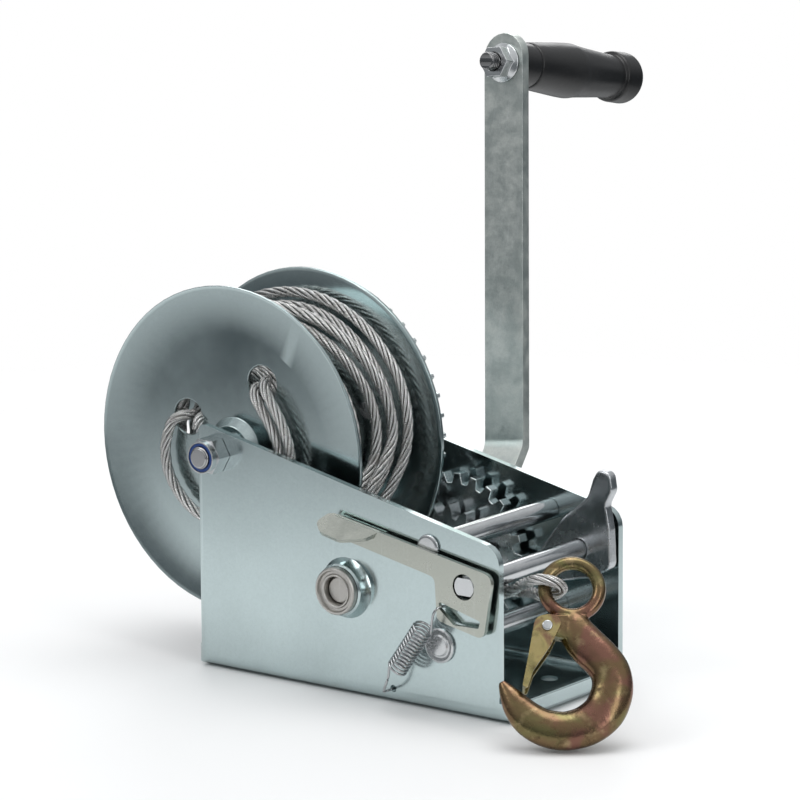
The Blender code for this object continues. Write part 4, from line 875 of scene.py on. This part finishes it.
class WINCH_OT_sheet_metal(bpy.types.Operator):
    """Frame, flanges and control lever"""

    bl_idname = "winch.sheet_metal"
    bl_label = "Sheet metal"

    def execute(self, context):
        finished("frame", "zinc_plate", 0.5 * MM)
        # The flanges' finish is the plate's colour darkened as painted shade
        finished("near_flange", "flange_plate_painted_shade", 0.4 * MM, angle=40)
        finished("far_flange", "flange_plate_painted_shade", 0.4 * MM, angle=40)
        finished("control_lever", "lever_plate", 0.4 * MM)
        return {"FINISHED"}


class WINCH_OT_gears(bpy.types.Operator):
    """Drum gear, pinion and ratchet wheel"""

    bl_idname = "winch.gears"
    bl_label = "Gears"

    def execute(self, context):
        finished("drum_gear", "gear_plate_painted_light", 0.3 * MM, segments=1)
        finished("drive_pinion", "bright_steel", 0.3 * MM)
        finished("ratchet_wheel", "gear_plate_painted_light", 0.4 * MM)
        return {"FINISHED"}


class WINCH_OT_shafts(bpy.types.Operator):
    """Rods, shafts, bolts, nuts, spacers, bushes and rivets"""

    bl_idname = "winch.shafts"
    bl_label = "Shafts and fasteners"

    def execute(self, context):
        for node in ("upper_tie_rod", "lower_tie_rod", "drum_spacer_near", "drum_spacer_far", "drum_tube", "drum_hub",
                     "drum_nut", "shaft_collar_near", "shaft_collar_far", "pawl_shaft"):
            finished(node, "bright_steel", 0.3 * MM)
        for i in range(4):
            finished(f"gear_rivet_{i + 1}", "bright_steel", 0.25 * MM)
        finished("drum_bolt", "bolt_thread", 0.3 * MM)
        finished("nut_insert_ring", "blue_nylon", 0.2 * MM)
        for node in ("bush_near", "bush_far", "drive_shaft"):
            finished(node, "bush_metal", 0.3 * MM)
        return {"FINISHED"}


class WINCH_OT_crank(bpy.types.Operator):
    """Crank arm with its washer and nut"""

    bl_idname = "winch.crank"
    bl_label = "Crank"

    def execute(self, context):
        finished("crank_arm", "crank_bar", 0.9 * MM, segments=3, angle=50)
        finished("crank_washer", "bright_steel", 0.3 * MM)
        finished("crank_nut", "bright_steel", 0.5 * MM)
        return {"FINISHED"}


class WINCH_OT_grip(bpy.types.Operator):
    """Moulded grip, its ferrule, bolt and nut"""

    bl_idname = "winch.grip"
    bl_label = "Grip"

    def execute(self, context):
        joint = next(j for j in frame["joints"] if j["name"] == "grip_spin")
        axis = Vector(joint["axis"]).normalized()
        start, end = GRIP_START, GRIP_START + GRIP_LENGTH
        # The outline is (distance, radius) in millimetres: swelling palm, shoulder, thin neck, round end collar
        outer = np.array([(0, 12.6), (1.5, 13.1), (7, 13.6), (14, 14.1), (28, 15.1), (36, 15.5), (38.6, 15.5),
                          (41, 15.2), (42.6, 14.9), (44, 14.75), (50, 14.3), (56, 13.9), (68, 13), (78, 12.5),
                          (79.6, 12.5), (80, 12.9), (80.2, 13.7), (81.5, 14.5), (86, 14.6), (91, 14.7), (92.8, 14.6),
                          (94.2, 14.1), (95, 13.6)])
        fine = curved(outer, 1.1)
        profile = [(5.4 * MM, start)] + [(r * MM, start + d * MM) for d, r in fine]
        profile += [(9.8 * MM, end), (9.5 * MM, end - 0.4 * MM), (9.5 * MM, end - 3.3 * MM),
                    (5.4 * MM, end - 3.3 * MM)]

        def flutes(distance, angle):
            """Shallow flutes along the neck: 0.16 mm deep, twelve round, fading at both ends."""
            along = np.clip((distance - start - 44 * MM) / (34 * MM), 0, 1)
            inside = (distance > start + 44 * MM) & (distance < start + 78 * MM)
            return -0.16 * MM * inside * np.sin(math.pi * along) ** 0.5 * (0.5 + 0.5 * np.cos(12 * angle))

        grip = turned_about("grip_moulding", profile, joint["pos_m"], axis, (1, 0, 0),
                            context.scene.winch_sizes.grip_sides, "grip_plastic", flutes)
        face_outwards(grip)
        carried(grip, "grip", "black_plastic", "grip")
        finished("grip_ferrule", "grip_plastic", 0.6 * MM)
        finished("grip_bolt", "grip_thread", 0.3 * MM)
        finished("grip_nut", "bright_steel", 0.4 * MM)
        return {"FINISHED"}


class WINCH_OT_pawl(bpy.types.Operator):
    """Cast pawl with its thumb lever"""

    bl_idname = "winch.pawl"
    bl_label = "Pawl"

    def execute(self, context):
        forged("pawl", "cast_steel", 0.45 * MM, 4)
        return {"FINISHED"}


class WINCH_OT_lever_spring(bpy.types.Operator):
    """Coiled spring from the plate to the lever"""

    bl_idname = "winch.lever_spring"
    bl_label = "Lever spring"

    def execute(self, context):
        sizes = context.scene.winch_sizes
        top, foot = np.array([67.2, -66.4, 58.7]) * MM, np.array([31.4, -66.4, 8.2]) * MM
        down = (foot - top) / np.linalg.norm(foot - top)
        side = np.array([0.0, 1.0, 0.0])
        cross = np.cross(down, side)
        radius = 5.8 * MM - sizes.spring_wire / 2
        coil_from, coil_to = 13.5 * MM, 44.5 * MM
        t = np.linspace(0, 1, int(sizes.spring_coils * 26))
        turn = 2 * math.pi * sizes.spring_coils * t
        centre = top + down * (coil_from + (coil_to - coil_from) * t)[:, None]
        coil = centre + radius * (np.cos(turn)[:, None] * cross + np.sin(turn)[:, None] * side)
        upper = [top + side * 8.4 * MM + down * 0.6 * MM, top + side * 4 * MM - down * 0.4 * MM,
                 top + side * 0.6 * MM + down * 1.5 * MM, top + down * 6 * MM + cross * 1.5 * MM,
                 top + down * 11 * MM + cross * 4.2 * MM]
        last = np.cos(turn[-1]) * cross + np.sin(turn[-1]) * side
        lower = [foot - down * 14.6 * MM + last * 3.8 * MM, foot - down * 10 * MM + last * 1.4 * MM,
                 foot - down * 4 * MM, foot - down * 0.4 * MM + side * 2 * MM, foot + side * 6 * MM,
                 foot + side * 13.6 * MM]
        route = np.concatenate([curved(upper, 0.8 * MM), coil, curved(lower, 0.8 * MM)])
        route = spaced(route, 0.9 * MM)
        out = route - (top + ((route - top) @ down)[:, None] * down)
        lean = np.where(np.linalg.norm(out, axis=1)[:, None] > 1 * MM, out, cross)
        lean = lean + 1e-6 * cross + 1e-7 * down
        spring = wire_tube("lever_spring_coil", route, sizes.spring_wire / 2, lean, "spring_wire")
        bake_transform(spring)
        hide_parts("lever_spring")
        return {"FINISHED"}


class WINCH_OT_hook(bpy.types.Operator):
    """Forged hook, its latch and rivet, and the rope's sleeve"""

    bl_idname = "winch.hook"
    bl_label = "Hook"

    def execute(self, context):
        forged("hook", "yellow_zinc", 0.5 * MM, 6, hook_shell())
        finished("hook_latch", "yellow_zinc_sheet", 0.25 * MM)
        finished("latch_rivet", "bright_steel", 0.25 * MM)
        finished("rope_ferrule", "pressed_sleeve", 0.3 * MM)
        return {"FINISHED"}


OPERATORS = (
    WINCH_OT_stage, WINCH_OT_hook, WINCH_OT_free_rope, WINCH_OT_wound_rope, WINCH_OT_rope_end, WINCH_OT_sheet_metal,
    WINCH_OT_gears, WINCH_OT_shafts, WINCH_OT_crank, WINCH_OT_grip, WINCH_OT_pawl, WINCH_OT_lever_spring,
)


class WINCH_PT_sidebar(bpy.types.Panel):
    """Every piece of the winch, and its sizes and colours"""

    bl_idname = "WINCH_PT_sidebar"
    bl_label = "Boat Trailer Winch"
    bl_space_type = "VIEW_3D"
    bl_region_type = "UI"
    bl_category = "Winch"

    def draw(self, context):
        layout = self.layout
        for group in (context.scene.winch_sizes, context.scene.winch_colours):
            column = layout.column(align=True)
            for name in group.__annotations__:
                column.prop(group, name)
        column = layout.column(align=True)
        for operator in OPERATORS:
            column.operator(operator.bl_idname)


CLASSES = (WinchSizes, WinchColours, *OPERATORS, WINCH_PT_sidebar)


def register():
    for made in CLASSES:
        bpy.utils.register_class(made)
    bpy.types.Scene.winch_sizes = PointerProperty(type=WinchSizes)
    bpy.types.Scene.winch_colours = PointerProperty(type=WinchColours)


def unregister():
    del bpy.types.Scene.winch_colours
    del bpy.types.Scene.winch_sizes
    for made in reversed(CLASSES):
        bpy.utils.unregister_class(made)


def main():
    register()
    make_materials(bpy.context.scene.winch_colours)
    for operator in OPERATORS:
        group, name = operator.bl_idname.split(".")
        getattr(getattr(bpy.ops, group), name)()
    bpy.context.view_layer.update()


if __name__ == "__main__":
    main()
